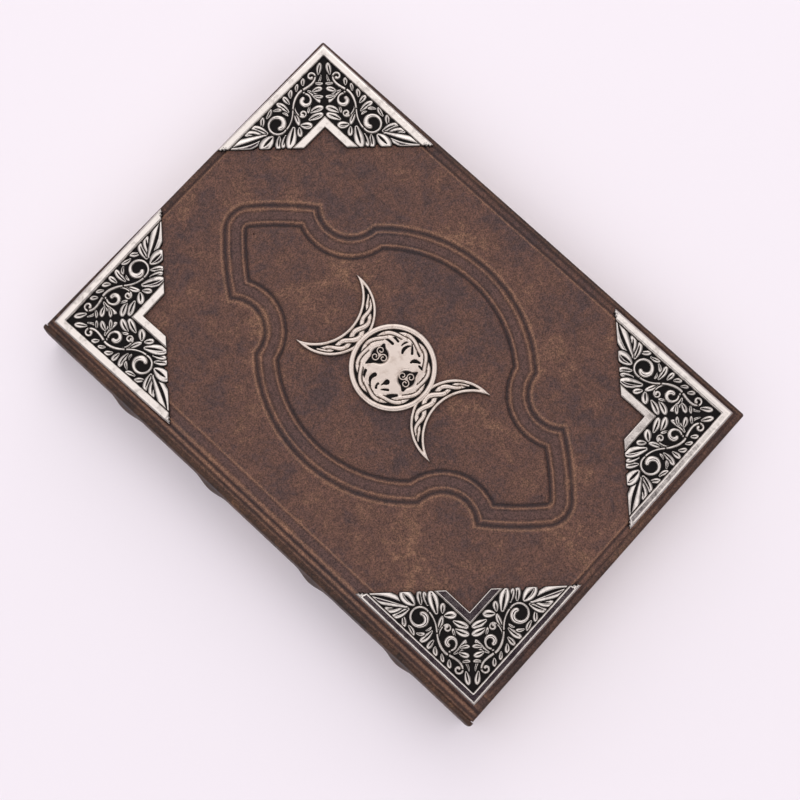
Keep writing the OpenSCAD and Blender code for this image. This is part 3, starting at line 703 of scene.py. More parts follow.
@dataclass(frozen=True)
class ToolProfile:
    """Cross-section of a set of parallel tool marks."""

    grooves: tuple[ToolMark, ...]
    ridges: tuple[ToolMark, ...] = ()
    pressed: tuple[ToolMark, ...] = ()

    def height(self, at: np.ndarray) -> np.ndarray:
        """How far the surface stands above plain leather, in millimetres."""
        total = np.zeros_like(at)
        for mark in self.grooves:
            total -= mark.depth * bell(at, mark.at, mark.width * 1.25)
        for mark in self.ridges:
            total += mark.depth * bell(at, mark.at, mark.width * 1.4)
        for mark in self.pressed:
            total -= mark.depth * self._flat(at, mark)
        return total

    def masks(self, at: np.ndarray) -> dict[str, np.ndarray]:
        """The masks groove, ridge and pressed at the same places."""
        blank = np.zeros_like(at)
        groove = sum((bell(at, m.at, m.width * 1.5) * min(m.depth / 0.5, 1) for m in self.grooves), blank)
        # ridge mask: where the painted highlight goes
        ridge = sum((bell(at, m.at, m.width * 1.2) for m in self.ridges), blank)
        pressed = sum((self._flat(at, m) for m in self.pressed), blank)
        found = {"groove": groove, "ridge": ridge, "pressed": pressed}
        return {name: np.clip(values, 0, 1) for name, values in found.items()}

    @staticmethod
    def _flat(at: np.ndarray, mark: ToolMark) -> np.ndarray:
        """1 across a flat mark, with soft edges."""
        half = mark.width / 2
        return smooth_step(np.abs(at - mark.at), half + 0.35, half - 0.35)


def steps(start: float, end: float, pitch: float) -> list[float]:
    """Evenly spaced places from start to end, no farther apart than pitch."""
    return list(np.linspace(start, end, max(2, math.ceil((end - start) / pitch) + 1)))


@dataclass
class Cartouche:
    """The tooled band around the padded panel, with four bowed sides, four bites and two points."""

    centre_x: float = 81.4
    centre_y: float = 1.3
    half_w: float = 52.2
    half_h: float = 88.5
    side_r: float = 59.9
    bite_x: float = 34.7
    bite_y: float = 56.2
    bite_r: float = 13.4
    shoulder_angle: float = 43
    point_r: float = 10
    ear_r: float = 120
    band: float = 8.3
    panel_rise: float = 0.4
    pad_width: float = 3.4
    outer_margin: float = 3.2
    fade_w: float = 1.2
    line_pitch: float = 0.24
    side_steps: int = 44
    bite_steps: int = 34
    ear_steps: int = 20
    point_steps: int = 14

    @property
    def profile(self) -> ToolProfile:
        """The band's lines, measured inwards from the outer groove."""
        return ToolProfile(
            grooves=(ToolMark(0, 1.7, 0.45), ToolMark(2.6, 0.7, 0.25), ToolMark(6.0, 0.7, 0.25),
                     ToolMark(self.band, 1.5, 0.5)),
            # the ridges are also lightened by the leather's ridge colour, a painted highlight
            ridges=(ToolMark(-1.5, 1.4, 0.08), ToolMark(1.6, 0.9, 0.14), ToolMark(6.9, 0.9, 0.14)),
            pressed=(ToolMark(4.3, 3.0, 0.05),))

    def quadrant(self, grow: float) -> np.ndarray:
        """A quarter of the outline, from the middle of the fore side to the head point.

        Args:
            grow: how far the outline is moved outwards, in millimetres.

        Returns:
            The points, about the cartouche's centre.
        """
        side_c = np.array([self.half_w - self.side_r, 0.0])
        bite_c = np.array([self.bite_x, self.bite_y])
        point_c = np.array([0.0, self.half_h - self.point_r])
        cut = direction(180 - self.shoulder_angle)
        shoulder = bite_c + self.bite_r * cut
        reach = shoulder - point_c
        leg = self.ear_r - self.point_r
        turn_cos = (leg**2 + reach @ reach - self.ear_r**2) / (2 * leg * np.linalg.norm(reach))
        ear_c = point_c + leg * direction(bearing(shoulder, point_c) - math.degrees(math.acos(turn_cos)))
        side_r, bite_r = self.side_r + grow, self.bite_r - grow
        ear_r, point_r = self.ear_r + grow, self.point_r + grow
        low = circles_meet(side_c, side_r, bite_c, bite_r, bite_c - np.array([0, bite_r]))
        high = circles_meet(ear_c, ear_r, bite_c, bite_r, shoulder)
        touch = bearing(point_c, ear_c)
        return np.concatenate([
            arc(side_c, side_r, 0, bearing(low, side_c), self.side_steps),
            arc(bite_c, bite_r, bearing(low, bite_c), bearing(high, bite_c), self.bite_steps),
            arc(ear_c, ear_r, bearing(high, ear_c), touch, self.ear_steps),
            arc(point_c, point_r, touch, 90, self.point_steps)[1:]])

    def outline(self, inward: float) -> np.ndarray:
        """The whole outline as a loop, moved inwards."""
        first = self.quadrant(-inward)
        left = first[::-1] * (-1, 1)
        half = np.concatenate([first, left[1:]])
        loop = np.concatenate([half, (half[::-1] * (1, -1))[1:-1]])
        return loop + (self.centre_x, self.centre_y)

    def offsets(self) -> list[float]:
        """Distances inwards at which the outline is drawn."""
        return steps(-self.outer_margin, self.band + self.pad_width, self.line_pitch)

    def pad_height(self, inward: np.ndarray) -> np.ndarray:
        """Height of the padded panel over plain leather."""
        return self.panel_rise * smooth_step(inward, self.band, self.band + self.pad_width)


@dataclass
class CoverLeather:
    """Leather wrapped over one cover: outer face with its tooling, rounded edges and turn-ins."""

    places: BookPlaces
    front: bool = True
    hinge_gap: float = 0.3
    edge_r: float = 1.0
    leather_t: float = 1.0
    turn_in_t: float = 0.6
    turn_in_w: float = 4.0
    joint_w: float = 1.4
    edge_wear_and_shade_w: float = 2.6
    spine_lines_fade: Point = (12.2, 12.8)
    spine_zone: float = 14.5
    border_zone: float = 8.0
    line_pitch: float = 0.24
    cartouche: Cartouche = field(default_factory=Cartouche)
    # in these profiles the ridges are lightened as a painted highlight; the spine ridge at 0.6 has no
    # height and is only painted
    spine_lines: ToolProfile = ToolProfile(
        grooves=(ToolMark(-0.2, 1.2, 0.35), ToolMark(1.6, 1.0, 0.4), ToolMark(4.1, 1.1, 0.45),
                 ToolMark(6.9, 0.5, 0.2), ToolMark(9.6, 0.6, 0.2)),
        ridges=(ToolMark(0.6, 1.0, 0.0), ToolMark(2.8, 1.5, 0.12), ToolMark(5.6, 1.6, 0.05),
                ToolMark(10.5, 1.0, 0.15)),
        pressed=(ToolMark(8.2, 2.4, 0.15),))
    back_lines: ToolProfile = ToolProfile(grooves=(ToolMark(-0.2, 1.2, 0.35),))
    fore_lines: ToolProfile = ToolProfile(
        grooves=(ToolMark(4.8, 1.1, 0.4), ToolMark(2.2, 1.0, 0.35)),
        ridges=(ToolMark(5.9, 0.8, 0.12), ToolMark(1.3, 0.8, 0.1)))
    head_lines: ToolProfile = ToolProfile(
        grooves=(ToolMark(2.8, 1.1, 0.4),),
        ridges=(ToolMark(3.8, 0.9, 0.12),))
    tail_lines: ToolProfile = ToolProfile(
        grooves=(ToolMark(2.8, 1.0, 0.35), ToolMark(5.4, 1.1, 0.4)),
        ridges=(ToolMark(6.4, 0.9, 0.12),))

    def tooling(self, x: np.ndarray, y: np.ndarray) -> tuple[np.ndarray, dict[str, np.ndarray]]:
        """Height and masks of the spine lines and the border.

        Args:
            x: distances from the hinge line.
            y: heights from the middle of the cover.

        Returns:
            The heights and the masks.
        """
        if not self.front:
            return self.back_lines.height(x), self.back_lines.masks(x)
        half = self.places.half_height
        fore, head, tail = self.places.cover_w - x, half - y, half + y
        inside = smooth_step(x, *self.spine_lines_fade)
        zones = (
            (self.spine_lines, x, 1 - inside),
            (self.fore_lines, fore, inside * ((fore < head) & (fore < tail))),
            (self.head_lines, head, inside * ((head <= fore) & (head < tail))),
            (self.tail_lines, tail, inside * ((tail <= fore) & (tail <= head))))
        height = sum(profile.height(at) * share for profile, at, share in zones)
        masks = {name: sum(profile.masks(at)[name] * share for profile, at, share in zones)
                 for name in ("groove", "ridge", "pressed")}
        return height, masks

    def edge_wear_and_shade_mask(self, points: np.ndarray) -> np.ndarray:
        """1 on the edges and beside the hinge, falling off inwards: darker leather, partly worn colour and
        partly painted shade.
        """
        half = self.places.half_height
        nearest = np.minimum(self.places.cover_w - points[:, 0], half - np.abs(points[:, 1]))
        nearest = np.minimum(nearest, points[:, 0] + 1.0)
        return np.exp(-((np.clip(nearest, 0, None) / self.edge_wear_and_shade_w) ** 2))

    def grid_lines(self) -> tuple[list[float], list[float]]:
        """Places of the mesh lines across and along the cover; the middle stretch has none."""
        w, half, r, pitch = self.places.cover_w, self.places.half_height, self.edge_r, self.line_pitch
        across = steps(self.hinge_gap / 2, self.joint_w, 0.25)
        across += steps(self.joint_w, self.spine_zone, pitch)[1:]
        across += steps(w - self.border_zone, w - r, pitch) + steps(w - r, w, r / 4)[1:]
        along = steps(-half, -half + r, r / 4) + steps(-half + r, -half + self.border_zone, pitch)[1:]
        along += steps(half - self.border_zone, half - r, pitch) + steps(half - r, half, r / 4)[1:]
        return across, along

    def soften(self, points: np.ndarray) -> np.ndarray:
        """Rounds the square edges of the slab at the fore edge, head and tail."""
        w, half, t, r = self.places.cover_w, self.places.half_height, self.places.cover_t, self.edge_r
        core = np.stack([np.minimum(points[:, 0], w - r), np.clip(points[:, 1], -half + r, half - r),
                         np.clip(points[:, 2], r, t - r)], 1)
        reach = points - core
        length = np.linalg.norm(reach, axis=1, keepdims=True)
        return core + reach * np.where(length > r, r / np.maximum(length, 1e-6), 1.0)

    def build(self) -> Piece:
        """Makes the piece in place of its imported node.

        Returns:
            The object.
        """
        shell = Shell()
        self._outer_face(shell)
        self._edges(shell)
        node = "front_leather" if self.front else "back_leather"
        t = self.places.cover_t
        for points in shell.points:
            points[:, 0] += self.places.hinge_x
            points[:, 2] = points[:, 2] + self.places.top_z - t if self.front else t - points[:, 2]
        made = shell.build("front_cover_leather" if self.front else "back_cover_leather", weld=0.004)
        Finish.LEATHER.paint(made, "leather")
        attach(made, "front_cover" if self.front else "back_cover")
        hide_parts(node)
        return made

    def _outer_face(self, shell: Shell) -> None:
        """The outer face: a fine mesh along the edges and around the tooled band, plain fields between."""
        across, along = self.grid_lines()
        x, y = (m.ravel() for m in np.meshgrid(across, along))
        height, masks = self.tooling(x, y)
        points = self.soften(np.stack([x, y, np.full_like(x, self.places.cover_t)], 1))
        points[:, 2] += height * smooth_step(self.places.half_height - np.abs(y), 0, self.edge_r)
        left = across.index(self.spine_zone)
        tail_end = self.border_zone - self.places.half_height
        low = next(i for i, v in enumerate(along) if abs(v - tail_end) < 1e-6)
        hole = low * len(across) + left
        faces = [f for f in strip_faces(len(along), len(across)) if f[0] != hole]
        first = shell.add(points, faces, edge=self.edge_wear_and_shade_mask(points), **masks)
        hole_corners = np.array([hole, hole + 1, hole + len(across) + 1, hole + len(across)])
        self._panel(shell, points[hole_corners], (hole_corners + first).tolist())

    def _panel(self, shell: Shell, frame_points: np.ndarray, corners: list[int]) -> None:
        """The tooled band, the plain leather around it and the padded panel inside it.

        Args:
            shell: the mesh so far.
            frame_points: the four corners of the opening left for it.
            corners: their indices in the mesh.
        """
        z = self.places.cover_t
        if not self.front:
            shell.faces.append(tuple(corners))
            return
        band = self.cartouche
        offsets = np.array(band.offsets())
        loops = [band.outline(at) for at in offsets]
        size = len(loops[0])
        fade = smooth_step(offsets, offsets[0], offsets[0] + band.fade_w)
        heights = band.profile.height(offsets) * fade + band.pad_height(offsets)
        marks = band.profile.masks(offsets)
        rings = [np.column_stack([loop, np.full(size, z + h)]) for loop, h in zip(loops, heights)]
        points = np.concatenate(rings)
        masks = {name: np.repeat(values, size) for name, values in marks.items()}
        first = shell.add(points, strip_faces(len(offsets), size, closed=True), **masks)
        outer = [Vector((*p, 0)) for p in loops[0]]
        field_corners = [Vector((p[0], p[1], 0)) for p in frame_points]
        index = corners + list(range(first, first + size))
        for triangle in tessellate_polygon([field_corners, outer]):
            shell.faces.append(tuple(index[i] for i in triangle))
        inner = first + (len(offsets) - 1) * size
        for triangle in tessellate_polygon([[Vector((*p, 0)) for p in loops[-1]]]):
            shell.faces.append(tuple(inner + i for i in triangle))

    def _edges(self, shell: Shell) -> None:
        """The rounded edges, the sides and the turn-ins, as rings that follow the outer face's border."""
        across, along = self.grid_lines()
        w, half, t, r = self.places.cover_w, self.places.half_height, self.places.cover_t, self.edge_r
        ring = [(x, -half) for x in across] + [(w, y) for y in along[1:]]
        ring += [(x, half) for x in across[::-1][1:]] + [(across[0], y) for y in along[::-1][1:-1]]
        ring_xy = np.array(ring)
        levels = [(0.0, t - r * k / 4) for k in range(5)] + [(0.0, r * k / 4) for k in range(4, -1, -1)]
        levels += [(r * k / 4, 0.0) for k in range(1, 5)]
        levels += [(self.turn_in_w, 0.0), (self.turn_in_w, self.turn_in_t)]
        rows: list[np.ndarray] = []
        for inset, z in levels:
            x = across[0] + (ring_xy[:, 0] - across[0]) * (w - across[0] - inset) / (w - across[0])
            y = ring_xy[:, 1] * (half - inset) / half
            points = self.soften(np.stack([x, y, np.full_like(x, z)], 1))
            skin = points[:, 0] < self.joint_w - 1e-6
            points[skin, 2] = np.maximum(points[skin, 2], t - self.leather_t)
            if not rows:
                points[:, 2] += self.tooling(x, y)[0] * smooth_step(half - np.abs(y), 0, r)
            rows.append(points)
        points = np.concatenate(rows)
        shell.add(points, strip_faces(len(rows), len(ring), closed=True), edge=self.edge_wear_and_shade_mask(points))


@dataclass
class SpineLeather:
    """Leather over the rounded back, swelling softly over its raised bands, with a cap at each end."""

    places: BookPlaces
    leather_t: float = 1.0
    shoulder_r: float = 1.6
    spine_bow: float = 0.6
    shoulder_flat: float = 0.3
    hinge_gap: float = 0.3
    band_rise: float = 1.2
    band_w: float = 17.0
    band_reach: float = 13.0
    cap_out: float = 0.5
    cap_depth: float = 3.6
    round_r: float = 0.9
    band_shares: tuple[float, ...] = (0.325, 0.12, -0.12, -0.325)
    band_offset: float = -3.9
    line_pitch: float = 0.8

    @property
    def back_r(self) -> float:
        """Radius of the rounded back."""
        out = self.shoulder_r + self.spine_bow
        half_chord = self.places.top_z / 2 - self.shoulder_r
        return (half_chord**2 + out**2 - self.shoulder_r**2) / (2 * self.spine_bow)

    def section(self, inset: float) -> np.ndarray:
        """Section of the back seen along the spine, from the front hinge line to the back one.

        Args:
            inset: how far it is drawn inside the outer face.

        Returns:
            Points as x and z.
        """
        mid = self.places.top_z / 2
        bulge = self.shoulder_r + self.spine_bow + self.shoulder_flat + self.hinge_gap / 2
        centre_x = self.places.hinge_x - bulge + self.back_r
        r, sr, z_in = self.back_r - inset, self.shoulder_r - inset, mid - inset
        shoulder_x = centre_x - math.sqrt((r - sr) ** 2 - (z_in - sr) ** 2)
        end_x = self.places.hinge_x - self.hinge_gap / 2
        touch = bearing(np.array([shoulder_x, z_in - sr]), np.array([centre_x, 0.0]))
        half = np.concatenate([
            [(end_x, z_in)],
            arc(np.array([shoulder_x, z_in - sr]), sr, 90, touch, 9),
            arc(np.array([centre_x, 0.0]), r, touch, 180, 22)[1:]])
        return np.concatenate([half, (half[::-1] * (1, -1))[1:]]) + (0, mid)

    def band_height(self, y: float, z: np.ndarray) -> np.ndarray:
        """How far the leather swells over the bands at a height of the spine."""
        places = [self.band_offset + share * 2 * self.places.half_height for share in self.band_shares]
        shares = [min(abs(y - at) / (self.band_w / 2), 1) for at in places]
        along = sum(0.5 + 0.5 * math.cos(math.pi * share) for share in shares)
        off_middle = np.abs(z - self.places.top_z / 2)
        across = 1 - smooth_step(off_middle, 0.45 * self.band_reach, self.band_reach + 1)
        return self.band_rise * along * across

    def build(self) -> Piece:
        """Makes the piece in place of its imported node.

        Returns:
            The object.
        """
        outer, inner = self.section(0), self.section(self.leather_t)
        normal = outer - inner
        normal /= np.linalg.norm(normal, axis=1, keepdims=True)
        end = self.places.half_height + self.cap_out
        mid = self.places.top_z / 2
        lip_x = outer[:, 0].min() + self.cap_depth
        lip_end = mid - self.places.cover_t
        cover = 1 - smooth_step(np.abs(outer[:, 1] - mid), lip_end - 1.2, lip_end)
        lip = np.column_stack([inner[:, 0] + (lip_x - inner[:, 0]) * cover, inner[:, 1]])
        lip[:, 0] = np.minimum(lip[:, 0], outer[:, 0].max())
        rows: list[np.ndarray] = []
        # edge mask on the spine, darker towards the caps and inside: partly worn colour, partly painted
        # shade
        dark: list[np.ndarray] = []

        def add_row(section: np.ndarray, y: float, edge: float) -> None:
            """Adds one section at a height of the spine."""
            rows.append(np.column_stack([section[:, 0], np.full(len(section), y), section[:, 1]]))
            dark.append(np.full(len(section), edge))

        def swollen(y: float, shrink: float = 0.0) -> np.ndarray:
            """The outer section at a height of the spine."""
            return outer + normal * (self.band_height(y, outer[:, 1])[:, None] - shrink)

        r = self.round_r
        angles = [math.radians(a) for a in (90, 60, 30, 0)]
        for side in (-1, 1):
            if side > 0:
                for y in steps(-end + r, end - r, self.line_pitch):
                    # darker towards the caps: partly worn colour, partly painted shade
                    add_row(swollen(y), y, 0.75 * math.exp(-(end - abs(y)) / 2))
            caps = [(swollen(side * end, r * (1 - math.cos(a))), side * (end - r * (1 - math.sin(a))))
                    for a in angles]
            caps += [(lip, side * end), (lip, side * (end - self.leather_t))]
            for section, y in (caps[::-1] if side < 0 else caps):
                add_row(section, y, 0.6)
        for y in (end - self.leather_t, -end + self.leather_t):
            add_row(inner, y, 0.4)
        shell = Shell()
        faces = strip_faces(len(rows), len(outer))
        last = (len(rows) - 1) * len(outer)
        faces += [(last + c, last + c + 1, c + 1, c) for c in range(len(outer) - 1)]
        shell.add(np.concatenate(rows), faces, edge=np.concatenate(dark))
        made = shell.build("spine_cover_leather", weld=0.004)
        tidy = bmesh.new()
        tidy.from_mesh(made.data)
        bmesh.ops.holes_fill(tidy, edges=[e for e in tidy.edges if e.is_boundary], sides=0)
        bmesh.ops.recalc_face_normals(tidy, faces=tidy.faces)
        tidy.to_mesh(made.data)
        tidy.free()
        # the spine's darker leather is painted shade
        Finish.SHADED_SPINE_LEATHER.paint(made, "leather")
        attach(made, "root")
        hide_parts("spine_leather")
        return made


@dataclass(frozen=True)
class Fold:
    """A thin strip across a joint; its start, both bends and its end are measured from the hinge line."""

    name: str
    finish: Finish
    slot: str
    stops: tuple[float, float, float, float]
    depth: float
    sag: float
    thickness: float
    shorter: float


@dataclass
class JointFolds:
    """Strips that bridge both joints, leather outside and endpaper inside."""

    places: BookPlaces
    paper_clearance: float = 0.07
    columns: int = 17

    def folds(self) -> list[Fold]:
        """The leather fold and the paper fold of one joint."""
        paper_depth = self.places.cover_t + self.paper_clearance
        return [
            Fold("leather_fold", Finish.LEATHER, "leather", stops=(-1.0, -0.15, 0.15, 1.0),
                 depth=0.14, sag=0.25, thickness=0.3, shorter=0.8),
            Fold("paper_fold", Finish.ENDPAPER, "endpaper", stops=(-0.4, -0.1, 0.1, 4.6),
                 depth=paper_depth, sag=0.0, thickness=0.12, shorter=4.4)]

    def build(self) -> list[Piece]:
        """Makes the four strips.

        Returns:
            The objects.
        """
        return [self._strip(side, fold) for side in ("front", "back") for fold in self.folds()]

    def _strip(self, side: str, fold: Fold) -> Piece:
        """One strip.

        Args:
            side: front or back.
            fold: its shape.

        Returns:
            The object.
        """
        first, bend, last, end = fold.stops
        x = np.concatenate([[first], np.linspace(bend, last, self.columns - 2), [end]])
        top = -(fold.depth + fold.sag * np.abs(x))
        under = np.column_stack([x, top - fold.thickness])
        section = np.concatenate([np.column_stack([x, top]), under[::-1]])
        section[:, 1] = section[:, 1] + self.places.top_z if side == "front" else -section[:, 1]
        half = self.places.half_height - fold.shorter
        size = len(section)
        rows = [np.column_stack([section[:, 0] + self.places.hinge_x, np.full(size, y), section[:, 1]])
                for y in np.linspace(-half, half, 5)]
        faces = strip_faces(len(rows), size, closed=True)
        pairs = [(c, c + 1, size - 2 - c, size - 1 - c) for c in range(self.columns - 1)]
        faces += pairs + [tuple(i + (len(rows) - 1) * size for i in pair[::-1]) for pair in pairs]
        shell = Shell()
        # the leather fold is darkened evenly at half strength by the edge mask: painted shade in the joint,
        # partly worn colour
        shell.add(np.concatenate(rows), faces, edge=np.full(len(rows) * size, 0.5))
        made = shell.build(f"{side}_{fold.name}", weld=0.001)
        fold.finish.paint(made, fold.slot)
        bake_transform(made)
        return made


# Cast metal


@dataclass(frozen=True)
class Stroke:
    """A raised or cut line with a round section: points along it and its half widths."""

    path: np.ndarray
    half_widths: np.ndarray

    def mirrored(self) -> "Stroke":
        """The same stroke on the other side of a corner plate's diagonal."""
        return Stroke(self.path[:, ::-1], self.half_widths)

    def turned(self, angle: float, move: Point = (0, 0)) -> "Stroke":
        """The stroke turned about the origin and then moved."""
        c, s = direction(angle)
        return Stroke(self.path @ np.array([[c, s], [-s, c]]) + move, self.half_widths)


def spiral(centre: Point, radii: Sequence[float], start: float, sweep: float, widths: Sequence[float],
           count: int) -> Stroke:
    """A stroke that winds about a centre.

    Args:
        centre: the point it winds about.
        radii: its radius at even steps along it.
        start: its first angle in degrees.
        sweep: how far it turns, in degrees.
        widths: its half width at even steps along it.
        count: number of points.

    Returns:
        The stroke.
    """
    angles = start + sweep * np.linspace(0, 1, count)
    radius = spread(radii, count)[:, None]
    path = np.array(centre) + radius * np.array([direction(a) for a in angles])
    return Stroke(path, spread(widths, count))


def bow(start: Point, pull_0: Point, pull_1: Point, end: Point, widths: Sequence[float],
        count: int = 10) -> Stroke:
    """A stroke along a cubic curve with two pull points."""
    t = np.linspace(0, 1, count)[:, None]
    p = [np.array(v, float) for v in (start, pull_0, pull_1, end)]
    path = (1 - t) ** 3 * p[0] + 3 * (1 - t) ** 2 * t * p[1] + 3 * (1 - t) * t**2 * p[2] + t**3 * p[3]
    return Stroke(path, spread(widths, count))


@dataclass(frozen=True)
class Leaf:
    """A lobed leaf from base to tip, bowed sideways, with a cut that opens towards its base."""

    base: Point
    tip: Point
    width: float
    lean: float = 0.0
    cut: float = 0.72

    def body(self) -> Stroke:
        """The leaf's raised body."""
        base, tip = np.array(self.base, float), np.array(self.tip, float)
        along = tip - base
        side = np.array([-along[1], along[0]]) / np.linalg.norm(along)
        t = 1 - (1 - np.linspace(0, 1, 14)) ** 1.5
        middle = (base + tip) / 2 + side * self.lean * 2
        path = ((1 - t) ** 2)[:, None] * base + (2 * t * (1 - t))[:, None] * middle + (t**2)[:, None] * tip
        peak = 0.6
        swell = np.where(t < peak, 0.42 + 0.58 * np.sin(t / peak * math.pi / 2),
                         np.sqrt(np.clip(1 - ((t - peak) / (1 - peak)) ** 2, 0, 1)))
        return Stroke(path, np.maximum(self.width / 2 * swell, 0.06))

    def vein(self) -> Stroke:
        """The cut along the leaf's middle."""
        body = self.body()
        length = np.linspace(0, 1, len(body.path))
        keep = length <= self.cut
        thin = 0.26 * np.clip(1 - (length / (self.cut * 1.08)) ** 2, 0.05, 1)
        return Stroke(body.path[keep], (body.half_widths * thin)[keep])


ROUND_BACK = 2.4  # power of a stroke's section, 2 for a half circle
SKIRT = -0.1  # depth that the casting's walls fall to, a little into the leather


class ReliefField:
    """Heights over a grid, in millimetres, raised and cut by round strokes."""

    def __init__(self, across: np.ndarray, along: np.ndarray, ground: float) -> None:
        """Starts flat.

        Args:
            across: places of the grid's lines along the first axis.
            along: places of the grid's lines along the second axis.
            ground: height of the flat ground.
        """
        self.across, self.along = across, along
        self.u, self.v = np.meshgrid(across, along)
        self.height = np.full_like(self.u, ground)
        self.inside = np.ones_like(self.u, bool)
        self.ground = ground

    def nearness(self, stroke: Stroke, reach: float) -> tuple[tuple[slice, slice], np.ndarray]:
        """Distance from a stroke's line as a share of its half width.

        Args:
            stroke: the stroke.
            reach: how many half widths to look out to.

        Returns:
            The part of the grid that is near, and the distances there.
        """
        path, widths = stroke.path, stroke.half_widths
        pad = widths.max() * reach + 0.2
        low, high = path.min(0) - pad, path.max(0) + pad
        rows = slice(*np.searchsorted(self.along, (low[1], high[1])))
        columns = slice(*np.searchsorted(self.across, (low[0], high[0])))
        u, v = self.u[rows, columns], self.v[rows, columns]
        share = np.full_like(u, 9.0)
        for a, b, wa, wb in zip(path, path[1:], widths, widths[1:]):
            run = b - a
            square = max(run @ run, 1e-9)
            t = np.clip(((u - a[0]) * run[0] + (v - a[1]) * run[1]) / square, 0, 1)
            distance = np.hypot(u - a[0] - t * run[0], v - a[1] - t * run[1])
            share = np.minimum(share, distance / (wa + (wb - wa) * t))
        return (rows, columns), share

    def raise_stroke(self, stroke: Stroke, top: float, moat: float = 0.0) -> None:
        """Adds a round-backed stroke.

        Args:
            stroke: the stroke.
            top: its height.
            moat: width of the dark gap cut around it first, in millimetres.
        """
        wide = 1 + moat / max(stroke.half_widths.mean(), 0.05)
        window, share = self.nearness(stroke, wide)
        height = self.height[window]
        if moat:
            gap = (share > 1) & (share < wide)
            height[gap] = np.minimum(height, self.ground)[gap]
        dome = self.ground + (top - self.ground) * np.sqrt(np.clip(1 - share**ROUND_BACK, 0, 1))
        under = np.where(moat > 0, self.ground, height)
        self.height[window] = np.where(share < 1, np.maximum(dome, under), height)

    def cut_stroke(self, stroke: Stroke, floor: float | None = None) -> None:
        """Cuts a stroke down towards the ground."""
        window, share = self.nearness(stroke, 1.3)
        floor = self.ground if floor is None else floor
        wall = floor + (self.height[window] - floor) * smooth_step(share, 0.7, 1.15)
        self.height[window] = np.minimum(self.height[window], wall)

    def surface(self, top: float, skirt: float) -> tuple[np.ndarray, list[tuple[int, ...]], np.ndarray]:
        """The field as a mesh.

        Args:
            top: the height that counts as fully rubbed bright.
            skirt: height given to the points outside the outline, so that a wall falls to them.

        Returns:
            The points, the faces and the mask relief.
        """
        columns = self.u.shape[1]
        keep = self.inside[:-1, :-1] | self.inside[1:, :-1] | self.inside[:-1, 1:] | self.inside[1:, 1:]
        z = np.where(self.inside, self.height, skirt)
        relief = np.clip((self.height - self.ground) / (top - self.ground), 0, 1) * self.inside
        rows, cols = np.nonzero(keep)
        corner = rows * columns + cols
        quads = np.stack([corner, corner + 1, corner + columns + 1, corner + columns], 1)
        used = np.unique(quads)
        renumber = np.zeros(self.u.size, int)
        renumber[used] = np.arange(len(used))
        points = np.column_stack([self.u.ravel(), self.v.ravel(), z.ravel()])[used]
        return points, [tuple(q) for q in renumber[quads].tolist()], relief.ravel()[used]


@dataclass(frozen=True)
class CornerSeat:
    """Where one corner plate sits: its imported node, its tip and its turn on the cover."""

    node: str
    toward_fore: bool
    toward_head: bool
    tip_x: float
    tip_y: float
    slant: float = 0.0


